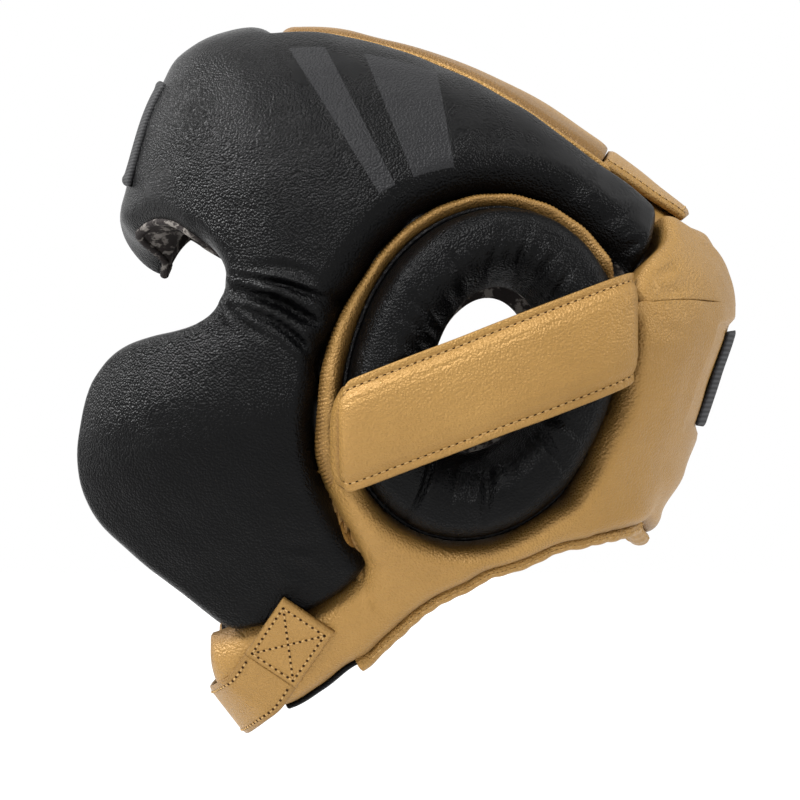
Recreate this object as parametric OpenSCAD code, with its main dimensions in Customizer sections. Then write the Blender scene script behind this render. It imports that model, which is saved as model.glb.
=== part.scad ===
// Open-face boxing headguard with ear pads, crown pad and hook-and-loop closures.
// +Z is up, the face looks along -Y and the wearer's left is +X.
// The origin is the centre of the space for the head.

/* [Head form] */
// Front to back length of the padded shell at the brow
form_length = 258; // [244:1:272]
// Width of the shell over the ear pads
form_width = 206; // [194:1:218]
// Height of the side outline, crown to chin
form_height = 284; // [270:1:300]
// Squareness of the cross section, where 2 is an ellipse
form_bulge = 2.6; // [2.3:0.1:3]
// Share of the half width that is lost at the jaw
jaw_taper = 0.34; // [0.28:0.01:0.38]

/* [Padding] */
// Depth of the front, side and cheek pads, lining to crest
pad_depth = 23; // [18:0.5:28]
// Depth of the neck, yoke and rear flap pads
rear_depth = 15; // [12:0.5:18]
// Depth of the crown pad
crown_depth = 10; // [8:0.5:13]
// Radius at which a pad draws down to its sewn edge
pad_round = 11; // [8:0.5:14]
// Share of the depth that is left at a crease between two pads
crease = 0.88; // [0.8:0.01:0.95]
// Share of the depth by which a pad swells at its middle
swell = 0.07; // [0.03:0.01:0.12]

// Width of the patch on the forehead
badge_w = 64; // [40:1:80]
// Rise of the brow edge over each eye
brow_rise = 20; // [14:1:24]

/* [Leather and seams] */
// Thickness of the cover leather
cover_t = 1; // [0.8:0.1:1.2]
// Thickness of the lining
lining_t = 1.2; // [0.8:0.1:1.8]
// Gap between two layers of one pad
layer_gap = 0.25; // [0.15:0.05:0.35]
// Gap at each side of a seam between two pads
seam_gap = 0.4; // [0.3:0.05:0.6]
// Diameter of the rolled binding at the neck edge
binding_d = 5; // [4:0.5:7]

/* [Ear pads] */
// Length of the ear pad
ear_pad_length = 151; // [142:1:156]
// Width of the ear pad
ear_pad_width = 117; // [108:1:120]
// Length of the ear hole
ear_hole_length = 76; // [66:1:82]
// Width of the ear hole
ear_hole_width = 40; // [32:1:46]
// Height of the ear pad over the outline of the shell
ear_pad_rise = 2; // [0:0.5:4]
// Width of the welt round the ear pad
welt_w = 6; // [4:0.5:8]
// Extra width of the welt under the ear
welt_flare = 12; // [8:0.5:14]
// Depth of the welt, from its lining to its crest
welt_depth = 12; // [9:0.5:15]

/* [Ear straps] */
// Width of the strap over the ear
ear_strap_w = 41; // [36:1:48]
// Length of the strap over the ear
ear_strap_length = 124; // [116:1:128]
// Thickness of the padded strap over the ear
ear_strap_t = 4; // [3:0.5:6]
// Rise of the strap towards the back, in degrees
ear_strap_tilt = 21; // [17:1:25]

/* [Crown] */
// Width of the crown pad at its front end
crown_front_w = 56; // [50:1:62]
// Width of the crown pad at its widest
crown_w = 96; // [90:1:102]
// Width of the crown flap
crown_flap_w = 66; // [58:1:72]
// Thickness of the crown flap
crown_flap_t = 3.5; // [2.5:0.5:5]
// Thickness of the crown tongue under the flap
tongue_t = 3; // [2:0.5:4]
// Length of the flap that laps over the tongue
crown_lap = 44; // [38:1:50]
// Margin at each side of the tongue between the side pads
tongue_margin = 2; // [1:0.5:6]

/* [Closures] */
// Height of the rear closure strap
rear_strap_w = 40; // [32:1:44]
// Distance of the rear strap's free end from the middle
rear_strap_reach = 48; // [40:1:54]
// Distance of the rear strap's sewn end from the middle
rear_strap_root = 28; // [20:1:36]
// Thickness of the closure straps
strap_t = 2.4; // [2:0.1:3]
// Thickness of a hook or loop patch
patch_t = 0.8; // [0.6:0.1:1.2]
// Gap between the two rear flaps
flap_gap = 3; // [2:0.5:6]
// Gap at the fold between a rear flap and its neighbours
flap_hinge_gap = 1; // [0.8:0.1:2]
// Width of the chin strap
chin_strap_w = 25; // [20:1:28]
// Length of the sewn chin tab
chin_tab_length = 28; // [24:1:32]
// Drop of the chin strap under the chin tabs
chin_drop = 13; // [12:1:26]

/* [Hidden] */

// Sizes of the last on which the side outline is drawn
LAST_LENGTH = 258;
LAST_HEIGHT = 284;
grade_y = form_length / LAST_LENGTH;
grade_z = form_height / LAST_HEIGHT;
// Ear axis on the last, in y and z
LAST_EAR = [22, -19];
ear = [LAST_EAR[0] * grade_y, LAST_EAR[1] * grade_z];
// Reach of the last from the ear axis every 15 degrees, from the back over the crown to the face
LAST_REACH = [99, 110, 111.8, 109.8, 110.7, 117, 129, 146.5, 170, 184, 173, 163,
    176, 194, 202, 202, 197, 190, 180, 168, 148, 114, 96, 94];
// Heights between which the jaw narrows
TAPER_TOP = -20;
TAPER_RUN = 140;

function mix(a, b, t) = a + (b - a) * t;
function clamp(t) = max(0, min(1, t));
function ease(t) = let (c = clamp(t)) c * c * (3 - 2 * c);

// Smooth curve through four neighbours
function bend(a, b, c, d, f) =
    0.5 * (2 * b + (c - a) * f + (2 * a - 5 * b + 4 * c - d) * f * f + (3 * b - a - 3 * c + d) * f * f * f);

function reach(a) =
    let (n = len(LAST_REACH), s = (a + 720) / 360 * n, i = floor(s))
    bend(LAST_REACH[(i - 1) % n], LAST_REACH[i % n], LAST_REACH[(i + 1) % n], LAST_REACH[(i + 2) % n], s - i);

function heading(a) = [cos(a) * grade_y, sin(a) * grade_z];

function half_width(z) = form_width / 2 * (1 - jaw_taper * ease((TAPER_TOP - z / grade_z) / TAPER_RUN));

// Point of the form at angle a round the ear axis and th from it, a depth below the outline
function place(a, th, depth) =
    let (
        d = heading(a),
        rho = (reach(a) * norm(d) - depth) * pow(abs(sin(th)), 2 / form_bulge),
        q = ear + rho * d / norm(d)
    )
    [(half_width(q[1]) - depth) * cos(th), q[0], q[1]];

// Angles [a, th] of the form's point that shows at q = [y, z] in the side view, with a from cut up
function seen(q, cut = -60) =
    let (
        v = q - ear,
        b = atan2(v[1] / grade_z, v[0] / grade_y),
        a = b < cut ? b + 360 : b,
        g = norm(v) / (reach(a) * norm(heading(a)))
    )
    [a, asin(pow(min(1, g), form_bulge / 2))];

function graded(points) = [for (p = points) [p[0] * grade_y, p[1] * grade_z]];

// Lengths along a list of points
function run(p) =
    [for (i = 0, s = 0; i < len(p); s = s + (i + 1 < len(p) ? norm(p[i + 1] - p[i]) : 0), i = i + 1) s];

// Point at share t of a smooth line through points
function along(p, t) =
    let (
        n = len(p),
        r = run(p),
        d = t * r[n - 1],
        i = n > 2 ? len([for (k = [1:n - 2]) if (r[k] <= d) 1]) : 0,
        f = (d - r[i]) / (r[i + 1] - r[i])
    )
    bend(p[max(i - 1, 0)], p[i], p[i + 1], p[min(i + 2, n - 1)], f);

// Radius of an ellipse with half axes l and w, long way at angle lean
function oval(l, w, lean, a) = l * w / norm([w * cos(a - lean), l * sin(a - lean)]);

EAR_LEAN = 70;
HOLE_LEAN = 73;
function ear_rim(a, grow = 0) = oval(ear_pad_length / 2 + grow, ear_pad_width / 2 + grow, EAR_LEAN, a);
function ear_hole(a) = oval(ear_hole_length / 2, ear_hole_width / 2, HOLE_LEAN, a);
function from_ear(a, r) = ear + r * [cos(a), sin(a)];
// Angles round the ear pad at which the welt ends, widens to the jaw and closes to nothing
WELT_END = 256;
FLARE_START = 180;
FLARE_RUN = 50;
WELT_CLOSE = 262;
CLOSE_RUN = 26;
function welt_width(a) =
    (welt_w + welt_flare * ease((a - FLARE_START) / FLARE_RUN)) * ease((WELT_CLOSE - a) / CLOSE_RUN);
function welt_edge(a) = from_ear(a, ear_rim(a) + welt_width(a));

// Polyhedron whose triangles are turned the right way round, whatever the order of its points
module solid(points, faces) {
    sixfold = [for (f = faces) points[f[0]] * cross(points[f[1]], points[f[2]])] * [for (f = faces) 1];
    polyhedron(points, sixfold < 0 ? faces : [for (f = faces) [f[0], f[2], f[1]]]);
}

// Closed solid between two grids of points, upper and lower. A ring's rows close on themselves.
module slab(upper, lower, ring = false) {
    n = len(upper);
    m = len(upper[0]);
    k = n * m;
    last = ring ? m - 1 : m - 2;
    at = function (i, j) i * m + j % m;
    quad = function (a, b, c, d) [[a, b, c], [a, c, d]];
    faces = concat(
        [for (i = [0:n - 2], j = [0:last]) each quad(at(i, j), at(i, j + 1), at(i + 1, j + 1), at(i + 1, j))],
        [for (i = [0:n - 2], j = [0:last]) each [
            for (f = quad(at(i, j), at(i, j + 1), at(i + 1, j + 1), at(i + 1, j))) [k + f[0], k + f[2], k + f[1]]]],
        ring ? [] : [for (i = [0:n - 2]) each concat(
            quad(at(i, 0), at(i + 1, 0), k + at(i + 1, 0), k + at(i, 0)),
            quad(at(i + 1, m - 1), at(i, m - 1), k + at(i, m - 1), k + at(i + 1, m - 1)))],
        [for (j = [0:last]) each concat(
            quad(at(0, j + 1), at(0, j), k + at(0, j), k + at(0, j + 1)),
            quad(at(n - 1, j), at(n - 1, j + 1), k + at(n - 1, j + 1), k + at(n - 1, j)))]);
    solid(concat([for (r = upper) each r], [for (r = lower) each r]), faces);
}

// Closed solid through loops of points, capped at both ends
module loft(loops) {
    n = len(loops);
    m = len(loops[0]);
    faces = concat(
        [for (i = [0:n - 2], j = [0:m - 1]) let (
            a = i * m + j,
            b = i * m + (j + 1) % m,
            c = (i + 1) * m + (j + 1) % m,
            d = (i + 1) * m + j
        ) each [[a, b, c], [a, c, d]]],
        [for (j = [1:m - 2]) [0, j + 1, j]],
        [for (j = [1:m - 2]) [(n - 1) * m, (n - 1) * m + j, (n - 1) * m + j + 1]]);
    solid([for (l = loops) each l], faces);
}

// Steps of a pad's drawn-down edge, as angles of a quarter circle
DEEP_STEPS = [0, 32, 60, 90];
CREASE_STEPS = [0, 50, 90];
function steps(low) = low < 0.5 ? DEEP_STEPS : CREASE_STEPS;
function backwards(list) = [for (i = [len(list) - 1:-1:0]) list[i]];

// Largest share of a pad's width that one rounded edge takes
ROUND_SHARE = 0.36;

// Shares of a run of a pad at which its grid stands
function stations(length, n, low0, low1) =
    let (
        round = min(pad_round, (length - 2 * seam_gap) * ROUND_SHARE),
        head = [for (f = steps(low0)) (seam_gap + round * (1 - cos(f))) / length],
        tail = [for (f = steps(low1)) 1 - (seam_gap + round * (1 - cos(f))) / length],
        a = head[len(head) - 1],
        b = tail[len(tail) - 1]
    )
    concat(head, [for (i = [1:n - 1]) mix(a, b, i / n)], backwards(tail));

// Height of the pad at those stations, as a share of its depth.
// left0 and left1 are the shares of the depth that are left at the two edges.
function heights(n, low0, low1, left0, left1) =
    concat(
        [for (f = steps(low0)) (left0 + (1 - left0) * sin(f)) * (1 - swell)],
        [for (i = [1:n - 1]) 1 - swell * pow(2 * i / n - 1, 2)],
        backwards([for (f = steps(low1)) (left1 + (1 - left1) * sin(f)) * (1 - swell)]));

function way(ps) = let (r = run(ps)) r[len(r) - 1];

// Width under which a pad can't swell to its full depth, and the share that it always has
FULL_WIDTH = 20;
LEAST_SWELL = 0.34;
// Steps at which a pad's length and width are measured
MEASURES = [0:0.125:1];

// Grid of a pad: each entry is [a, th, height], from a patch(u, v) that gives [a, th].
// lows are the shares of the depth that are left at u = 0, u = 1, v = 0 and v = 1,
// and at(u) gives the share at v = 0 where it changes along the edge.
function pad_grid(patch, nu, nv, lows, at = undef) =
    let (
        spot = function (u, v) let (q = patch(u, v)) place(q[0], q[1], 0),
        us = stations(way([for (u = MEASURES) spot(u, 0.5)]), nu, lows[0], lows[1]),
        hu = heights(nu, lows[0], lows[1], lows[0], lows[1])
    )
    [for (i = [0:len(us) - 1]) let (
        across_len = way([for (v = MEASURES) spot(us[i], v)]),
        vs = stations(across_len, nv, lows[2], lows[3]),
        hv = heights(nv, lows[2], lows[3], is_undef(at) ? lows[2] : at(us[i]), lows[3]),
        narrow = max(LEAST_SWELL, min(1, across_len / FULL_WIDTH))
    ) [for (j = [0:len(vs) - 1]) let (q = patch(us[i], vs[j])) [q[0], q[1], hu[i] * hv[j] * narrow]]];

function laid(grid, depth_at) = [for (r = grid) [for (g = r) place(g[0], g[1], depth_at(g[2]))]];
function pad_top(depth, h) = depth - max(depth * h, cover_t);

// Rows or columns of a grid that a foam core has: all but a deep edge's outermost
function core_span(count, low0, low1) = [for (i = [low0 < 0.5 ? 1 : 0:count - (low1 < 0.5 ? 2 : 1)]) i];

// Rows or columns that a lining needs: the outermost, and those inside the drawn edge
function sheet_span(count, low0, low1) =
    [for (i = [0:count - 1])
        if (i == 0 || i == count - 1 || (i >= len(steps(low0)) - 1 && i <= count - len(steps(low1)))) i];

function picked(grid, rows, cols) = [for (i = rows) [for (j = cols) grid[i][j]]];

module pad_cover(grid, depth) {
    slab(
        laid(grid, function (h) pad_top(depth, h)),
        laid(grid, function (h) pad_top(depth, h) + cover_t));
}

module pad_foam(grid, depth, lows) {
    core = picked(grid,
        core_span(len(grid), lows[0], lows[1]),
        core_span(len(grid[0]), lows[2], lows[3]));
    slab(
        laid(core, function (h) pad_top(depth, h) + cover_t + layer_gap),
        laid(core, function (h) depth - layer_gap));
}

module pad_lining(grid, depth, lows) {
    sheet = picked(grid,
        sheet_span(len(grid), lows[0], lows[1]),
        sheet_span(len(grid[0]), lows[2], lows[3]));
    slab(
        laid(sheet, function (h) depth + layer_gap),
        laid(sheet, function (h) depth + layer_gap + lining_t));
}

// A flat piece laid on the form: patch(u, v) gives [a, th] and depth(u) its outer face
module laid_sheet(patch, nu, nv, depth, t) {
    spots = [for (i = [0:nu]) [for (j = [0:nv]) patch(i / nu, j / nv)]];
    slab(
        [for (i = [0:nu]) [for (q = spots[i]) place(q[0], q[1], depth(i / nu))]],
        [for (i = [0:nu]) [for (q = spots[i]) place(q[0], q[1], depth(i / nu) + t)]]);
}

// Gap between a pad's edge and its rolled binding
BINDING_GAP = 0.65;

// A rolled binding under a line of [a, th] at a depth, from share u0 to u1 of the line
module rolled_edge(line, depth, u0, u1, n) {
    near = 0.01;
    edge = function (t) let (q = along(line, t)) place(q[0], q[1], depth);
    loft([for (i = [0:n]) let (
        u = mix(u0, u1, i / n),
        q = along(line, u),
        c = edge(u),
        out = unit(place(q[0], q[1], depth - 1) - c),
        side = unit(cross(edge(u + near) - edge(u - near), out)),
        down = side[2] > 0 ? -side : side,
        centre = c + (binding_d / 2 + BINDING_GAP) * down
    ) [for (f = [0:45:315]) centre + binding_d / 2 * (cos(f) * out + sin(f) * down)]]);
}

function unit(v) = v / norm(v);
function square_to(v, n) = v - (v * n) * n;

// Patch between two lines of [a, th]
function between(first, second) = function (u, v) mix(along(first, u), along(second, u), v);

// Patch whose rows run from the left over the mid-plane to the right.
// ends is the line of [a, th] at the left, middle the line of [a, 0] on the mid-plane,
// and lift(u) turns the row up between them.
function across(ends, middle, lift = function (u) 0) =
    function (u, v)
        let (w = 1 - 2 * v, e = along(ends, u), m = along(middle, u)[0])
        [mix(m, e[0], w * w) - lift(u) * sin(180 * abs(w)), 90 - w * (90 - e[1])];

// Angle that an arc takes at a radius
function turn_of(arc, radius) = arc / radius * 180 / PI;

function seen_all(points, cut = -60) = [for (p = points) seen(p, cut)];
function middle_of(points, cut = -60) = [for (p = points) let (q = seen(p, cut)) [q[0], 0]];

// Angle from the ear axis of a point that lies x from the mid-plane
function off_middle(x) = acos(max(-1, min(1, x / (form_width / 2))));

module both(left) {
    if (left) children();
    else mirror([1, 0, 0]) children();
}

// Half width of the crown pad at angle a round the ear axis, which widens towards the back
WIDEN_START = 113;
WIDEN_RUN = 44;
function crown_half(a) = mix(crown_front_w, crown_w, ease((WIDEN_START - a) / WIDEN_RUN)) / 2;
function crown_edge(a) = [a, off_middle(crown_half(a))];

// Lines shared by neighbouring pads, in y and z of the side view
EYE_CORNER = [-81, 19];
SIDE_TIP = [88, 28];
FLAP_Y = 87;
YOKE_Z = 9;
eye_corner = graded([EYE_CORNER])[0];
side_tip = graded([SIDE_TIP])[0];
CROWN_FRONT = 121;
CROWN_REAR = 42;
CROWN_STEP = 13;
crown_line = [for (a = [CROWN_FRONT:-CROWN_STEP:CROWN_REAR]) crown_edge(a)];
temple_line = [seen(eye_corner), crown_edge(CROWN_FRONT)];

// Forehead pad, from the brow up to the crown pad
FOREHEAD_LOWS = [0, 0, crease, crease];
brow_middle = middle_of(graded([[-126, 26], [-128, 72], [-105, 112], [-68, 127]]));
BROW_RADIUS = 160;
brow_lift = function (u) turn_of(brow_rise, BROW_RADIUS) * pow(1 - clamp(u), 2);
forehead_patch = across(temple_line, brow_middle, brow_lift);
forehead_grid = pad_grid(forehead_patch, 5, 9, FOREHEAD_LOWS);

// Side pad, from the temple over the ear to the back
SIDE_LOWS = [crease, 0, 0, 0];
// Share of the side pad's lower edge along which it meets the cheek, and its edge over the ear
SIDE_TURN = 0.17;
OVER_EAR = 0.3;
WELT_TOP = 154;
temple_edge = [for (t = [0, 0.5, 0.92]) mix(seen(eye_corner), seen(welt_edge(WELT_TOP)), t)];
side_low_line = concat(
    temple_edge,
    [for (a = [WELT_TOP:-17:52]) seen(welt_edge(a))],
    [seen(side_tip)]);
side_grid = pad_grid(between(side_low_line, crown_line), 9, 3, SIDE_LOWS,
    function (u) mix(crease, OVER_EAR, ease((u - SIDE_TURN) / SIDE_TURN)));

// Cheek pad
CHEEK_LOWS = [crease, 0, 0, 0];
// Lower rear corner of the cheek pad, by its angle round the ear axis and distance beyond the ear pad
JAW_TURN = 235;
JAW_REACH = 34.5;
jaw_corner = from_ear(JAW_TURN, ear_rim(JAW_TURN) + JAW_REACH);
WELT_LOW = 237;
jaw_side = mix(welt_edge(WELT_LOW), jaw_corner, 0.5);
cheek_rear_line = concat(
    [for (a = [WELT_TOP:16.6:WELT_LOW]) seen(welt_edge(a))],
    [seen(jaw_side), seen(jaw_corner)]);
cheek_front_line = concat([seen(eye_corner)],
    seen_all(graded([[-88, 5], [-105, -2], [-130, -5], [-147, -24], [-152, -52], [-146, -79], [-125, -97],
        [-103, -112], [-88, -125]])));
cheek_grid = pad_grid(between(cheek_front_line, cheek_rear_line), 6, 4, CHEEK_LOWS);

// Neck pad, from the back under the ear to the jaw
NECK_CUT = 60;
// Distance of the neck pad under the cheek pad
JAW_GAP = 2.5;
NECK_LOWS = [crease, 0, 0, 0];
neck_top_line = seen_all(concat(
    graded([[81, YOKE_Z]]),
    [for (a = [14:-26:-90]) from_ear(a, ear_rim(a))],
    [for (a = [256, 246, WELT_LOW]) welt_edge(a) - [0, JAW_GAP]],
    [jaw_side - [0.5, 1.2] * JAW_GAP, jaw_corner - [0, 2] * JAW_GAP],
    graded([[-62, -120], [-88, -128]])), NECK_CUT);
neck_hem_line = seen_all(graded([[83, -84], [72, -84.5], [56, -89], [35, -97.5], [16, -105], [-4, -115],
    [-19, -130], [-34, -140], [-50, -149], [-64, -156], [-86, -152]]), NECK_CUT);
neck_low_line = concat(
    seen_all(graded([[FLAP_Y, YOKE_Z], [FLAP_Y, -22], [FLAP_Y, -52], [FLAP_Y, -75]]), NECK_CUT),
    neck_hem_line);
// Share of the neck pad's lower line that runs down beside the rear flap, and its edge under the ear
NECK_TURN = 0.27;
UNDER_EAR = 0.1;
NECK_RUN = 0.1;
neck_grid = pad_grid(between(neck_low_line, neck_top_line), 10, 2, NECK_LOWS,
    function (u) mix(crease, UNDER_EAR, ease((u - NECK_TURN) / NECK_RUN)));
// Share of the hem that the binding covers
NECK_BINDING_END = 0.66;

// Yoke over the nape, between the side pads and over the rear flaps
YOKE_LOWS = [crease, crease, crease, crease];
yoke_line = concat([crown_edge(CROWN_REAR)],
    seen_all(concat(graded([[96, 37]]), [side_tip], graded([[83, 21], [80, 15], [83, YOKE_Z]]))));
yoke_middle = middle_of(graded([[121, 30], [126, 20], [128, YOKE_Z]]));
yoke_grid = pad_grid(across(yoke_line, yoke_middle), 3, 7, YOKE_LOWS);

// Rear flaps, left and right of the mid-plane
FLAP_LOWS = [crease, 0, 0, crease];
flap_end = off_middle(flap_gap / 2);
flap_low_line = concat(
    seen_all(graded([[FLAP_Y, -83]]) + [[flap_hinge_gap, 0]]),
    seen_all(graded([[94, -83]])),
    [[seen(graded([[97, -82]])[0])[0], flap_end]]);
flap_top_line = concat(
    seen_all(graded([[FLAP_Y, YOKE_Z]]) + [[flap_hinge_gap, -flap_hinge_gap]]),
    seen_all([for (y = [102, 116]) graded([[y, YOKE_Z]])[0] - [0, flap_hinge_gap]]),
    [[seen(graded([[127, YOKE_Z]])[0] - [0, flap_hinge_gap])[0], flap_end]]);
flap_patch = between(flap_low_line, flap_top_line);
flap_grid = pad_grid(flap_patch, 4, 3, FLAP_LOWS);

// Crown pad, whose rear end is where the flap over the tongue begins
LAP_AT = 50;
lap_turn = turn_of(crown_lap, reach(LAP_AT) * norm(heading(LAP_AT)));
CROWN_LOWS = [0, crease, 0, 0];
FLAP_BEYOND = 4;
CROWN_END = CROWN_REAR - FLAP_BEYOND;
crown_break = CROWN_END + lap_turn;
crown_patch = across(
    concat([for (a = [CROWN_FRONT:-CROWN_STEP:crown_break + 2]) crown_edge(a)], [crown_edge(crown_break)]),
    [[CROWN_FRONT, 0], [crown_break, 0]]);
crown_grid = pad_grid(crown_patch, 4, 3, CROWN_LOWS);
flap_lift_gap = layer_gap + 2 * (layer_gap + patch_t);
tongue_depth = crown_flap_t + flap_lift_gap;

PATCH_INSET = 8;
// Strip over the mid-plane from angle a0 to a1, with its half width at each
function strip(a0, a1, half0, half1) =
    across([[a0, off_middle(half0)], [a1, off_middle(half1)]], [[a0, 0], [a1, 0]]);

PATCH_SHARE = 0.55;
crown_patch_strip = strip(CROWN_END + PATCH_SHARE * lap_turn, CROWN_END + 1.5,
    crown_flap_w / 2 - PATCH_INSET, crown_flap_w / 2 - PATCH_INSET);

// Ear pad ring at stations of the way from the hole to the rim
EAR_TURNS = 20;
EAR_STEPS = [0, 45, 90];
function ear_stations(a) =
    let (w = ear_rim(a) - ear_hole(a) - seam_gap, head = [for (f = EAR_STEPS) pad_round * (1 - cos(f))])
    concat(head, [w / 2], [for (i = [len(head) - 1:-1:0]) w - head[i]]);
ear_heights = concat([for (f = EAR_STEPS) sin(f) * (1 - swell)], [1],
    [for (i = [len(EAR_STEPS) - 1:-1:0]) sin(EAR_STEPS[i]) * (1 - swell)]);
ear_depth = pad_depth + ear_pad_rise;
function ear_loop(k, depth) =
    [for (i = [0:EAR_TURNS - 1]) let (
        a = i * 360 / EAR_TURNS,
        q = seen(from_ear(a, ear_hole(a) + ear_stations(a)[k]))
    ) place(q[0], q[1], depth)];
function ear_top(k) = pad_depth - max(ear_depth * ear_heights[k], cover_t);
EAR_LAST = 2 * len(EAR_STEPS);

// Side-view point on the ear strap, whose ends are upright: s along it from its middle, w across it
STRAP_DROP = 3.8;
function strap_spot(s, w) =
    ear + s * [cos(ear_strap_tilt), sin(ear_strap_tilt)] + [0, w / cos(ear_strap_tilt) - STRAP_DROP];

// Chin tab: a side-view point, l along it and w across it
CHIN_TAB = [-57, -129];
CHIN_HEADING = [-0.43, -0.9];
chin_along = CHIN_HEADING / norm(CHIN_HEADING);
chin_across = [-chin_along[1], chin_along[0]];
function tab_spot(l, w) = graded([CHIN_TAB])[0] + l * chin_along + w * chin_across;
function on_tab(l, w, depth) = let (q = seen(tab_spot(l, w), NECK_CUT)) place(q[0], q[1], depth);
// Depth at which the tab lies on the crowned neck pad
TAB_SEAT = 0.95;
tab_top = TAB_SEAT - layer_gap - strap_t;
loop_top = tab_top - layer_gap - patch_t;
hook_top = loop_top - layer_gap - patch_t;
tail_top = hook_top - layer_gap - strap_t;

module tab_sheet(l0, l1, w, outer, t) {
    laid_sheet(function (u, v) seen(tab_spot(mix(l0, l1, u), mix(-w / 2, w / 2, v)), NECK_CUT), 4, 3,
        function (u) outer, t);
}

CHIN_INSET = 3;
module chin_patch(outer) {
    tab_sheet(CHIN_INSET - chin_tab_length / 2, chin_tab_length / 2 - CHIN_INSET,
        chin_strap_w - 2 * CHIN_INSET, outer, patch_t);
}

function flipped(p) = [-p[0], p[1], p[2]];

// Section of a strap lying on the tab at l: front inner, rear inner, rear outer and front outer corner
function tab_section(l, outer) =
    [for (c = [[-1, 1], [1, 1], [1, 0], [-1, 0]])
        on_tab(l, c[0] * chin_strap_w / 2, outer + c[1] * strap_t)];
function section_middle(c) = (c[0] + c[1] + c[2] + c[3]) / 4;

// Section hanging free at a point, where the strap heads ahead and its width runs along side
function free_section(point, ahead, side) =
    let (w = unit(square_to(side, ahead)), out = unit(cross(ahead, w)))
    [for (c = [[-1, -1], [1, -1], [1, 1], [-1, 1]])
        point + c[0] * chin_strap_w / 2 * w + c[1] * strap_t / 2 * out];

// The chin strap leaves the left tab, passes under the chin and lies over the right tab
CHIN_JOIN = 0.5;
CHIN_LEAD = 5;
LOW_SHIFT = 1.3;
LOW_SIDE = [0, 0.6, -0.8];
chin_start = chin_tab_length / 2 + CHIN_JOIN;
chin_leaving = [for (l = [chin_start, chin_start + CHIN_LEAD]) tab_section(l, tab_top)];
chin_landing = [for (l = [chin_start + CHIN_LEAD, chin_start, 0, -chin_tab_length / 2])
    [for (p = tab_section(l, tail_top)) flipped(p)]];
chin_from = section_middle(chin_leaving[1]);
chin_to = section_middle(chin_landing[0]);
chin_low = [0, chin_from[1] - chin_drop * LOW_SHIFT, chin_from[2] - chin_drop];
tab_side = unit(on_tab(0, 1, 0) - on_tab(0, -1, 0));

// Share of the half width and of the drop that the strap has at its free sections
SAG = [[0.86, 0.45], [0.5, 0.88], [0, 1]];
function sag_point(from, k) =
    [from[0] * SAG[k][0], mix(from[1], chin_low[1], SAG[k][1]), mix(from[2], chin_low[2], SAG[k][1])];
sag_middles = concat([for (k = [0:2]) sag_point(chin_from, k)], [for (k = [1, 0]) sag_point(chin_to, k)]);
sag_path = concat([chin_from], sag_middles, [chin_to]);
// Share of the way that each free section's width has turned to LOW_SIDE
SAG_TURNS = [0.4, 0.85, 1, 0.85, 0.4];
chin_sections = concat(chin_leaving,
    [for (k = [0:4]) free_section(sag_middles[k], unit(sag_path[k + 2] - sag_path[k]),
        mix(k < 2 ? tab_side : flipped(tab_side), LOW_SIDE, SAG_TURNS[k]))],
    chin_landing);

module chin_strap_band() {
    n = 26;
    rails = [for (c = [0:3]) [for (q = chin_sections) q[c]]];
    loft([for (i = [0:n]) [for (r = rails) along(r, i / n)]]);
}

BLACK = "#1b1b1d";
GOLD = "#b79763";
FOAM = "#d9d2c0";
LINING = "#2a2523";
PATCH = "#111112";
BADGE = "#202022";
STRAP = "#2b2b2c";

module forehead_cover() { color(BLACK) pad_cover(forehead_grid, pad_depth); }
module forehead_foam() { color(FOAM) pad_foam(forehead_grid, pad_depth, FOREHEAD_LOWS); }
module forehead_lining() { color(LINING) pad_lining(forehead_grid, pad_depth, FOREHEAD_LOWS); }

// Angles of the badge's lower and upper edge
BADGE_LOW = 150;
BADGE_HIGH = 138;
module forehead_badge() {
    color(BADGE) laid_sheet(strip(BADGE_LOW, BADGE_HIGH, badge_w / 2, badge_w / 2), 3, 6,
        function (u) -layer_gap - cover_t, cover_t);
}

module side_cover(left) { color(BLACK) both(left) pad_cover(side_grid, pad_depth); }
module side_foam(left) { color(FOAM) both(left) pad_foam(side_grid, pad_depth, SIDE_LOWS); }
module side_lining(left) { color(LINING) both(left) pad_lining(side_grid, pad_depth, SIDE_LOWS); }

module cheek_cover(left) { color(BLACK) both(left) pad_cover(cheek_grid, pad_depth); }
module cheek_foam(left) { color(FOAM) both(left) pad_foam(cheek_grid, pad_depth, CHEEK_LOWS); }
module cheek_lining(left) { color(LINING) both(left) pad_lining(cheek_grid, pad_depth, CHEEK_LOWS); }

module ear_pad_cover(left) {
    color(BLACK) both(left) slab(
        [for (k = [0:EAR_LAST]) ear_loop(k, ear_top(k))],
        [for (k = [0:EAR_LAST]) ear_loop(k, ear_top(k) + cover_t)], ring = true);
}

module ear_pad_foam(left) {
    color(FOAM) both(left) slab(
        [for (k = [1:EAR_LAST - 1]) ear_loop(k, ear_top(k) + cover_t + layer_gap)],
        [for (k = [1:EAR_LAST - 1]) ear_loop(k, pad_depth - layer_gap)], ring = true);
}

module ear_pad_lining(left) {
    color(LINING) both(left) slab(
        [for (k = [0, EAR_LAST / 2, EAR_LAST]) ear_loop(k, pad_depth + layer_gap)],
        [for (k = [0, EAR_LAST / 2, EAR_LAST]) ear_loop(k, pad_depth + layer_gap + lining_t)], ring = true);
}

// Depth by which the ear strap's ends dip, and how suddenly
STRAP_DIP = 4;
DIP_POWER = 10;
module ear_strap(left) {
    color(GOLD) both(left) laid_sheet(
        function (u, v) seen(strap_spot((u - 0.5) * ear_strap_length, (v - 0.5) * ear_strap_w)),
        12, 4,
        function (u) STRAP_DIP * pow(abs(2 * u - 1), DIP_POWER) - ear_pad_rise - 2 * layer_gap - ear_strap_t,
        ear_strap_t);
}

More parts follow.
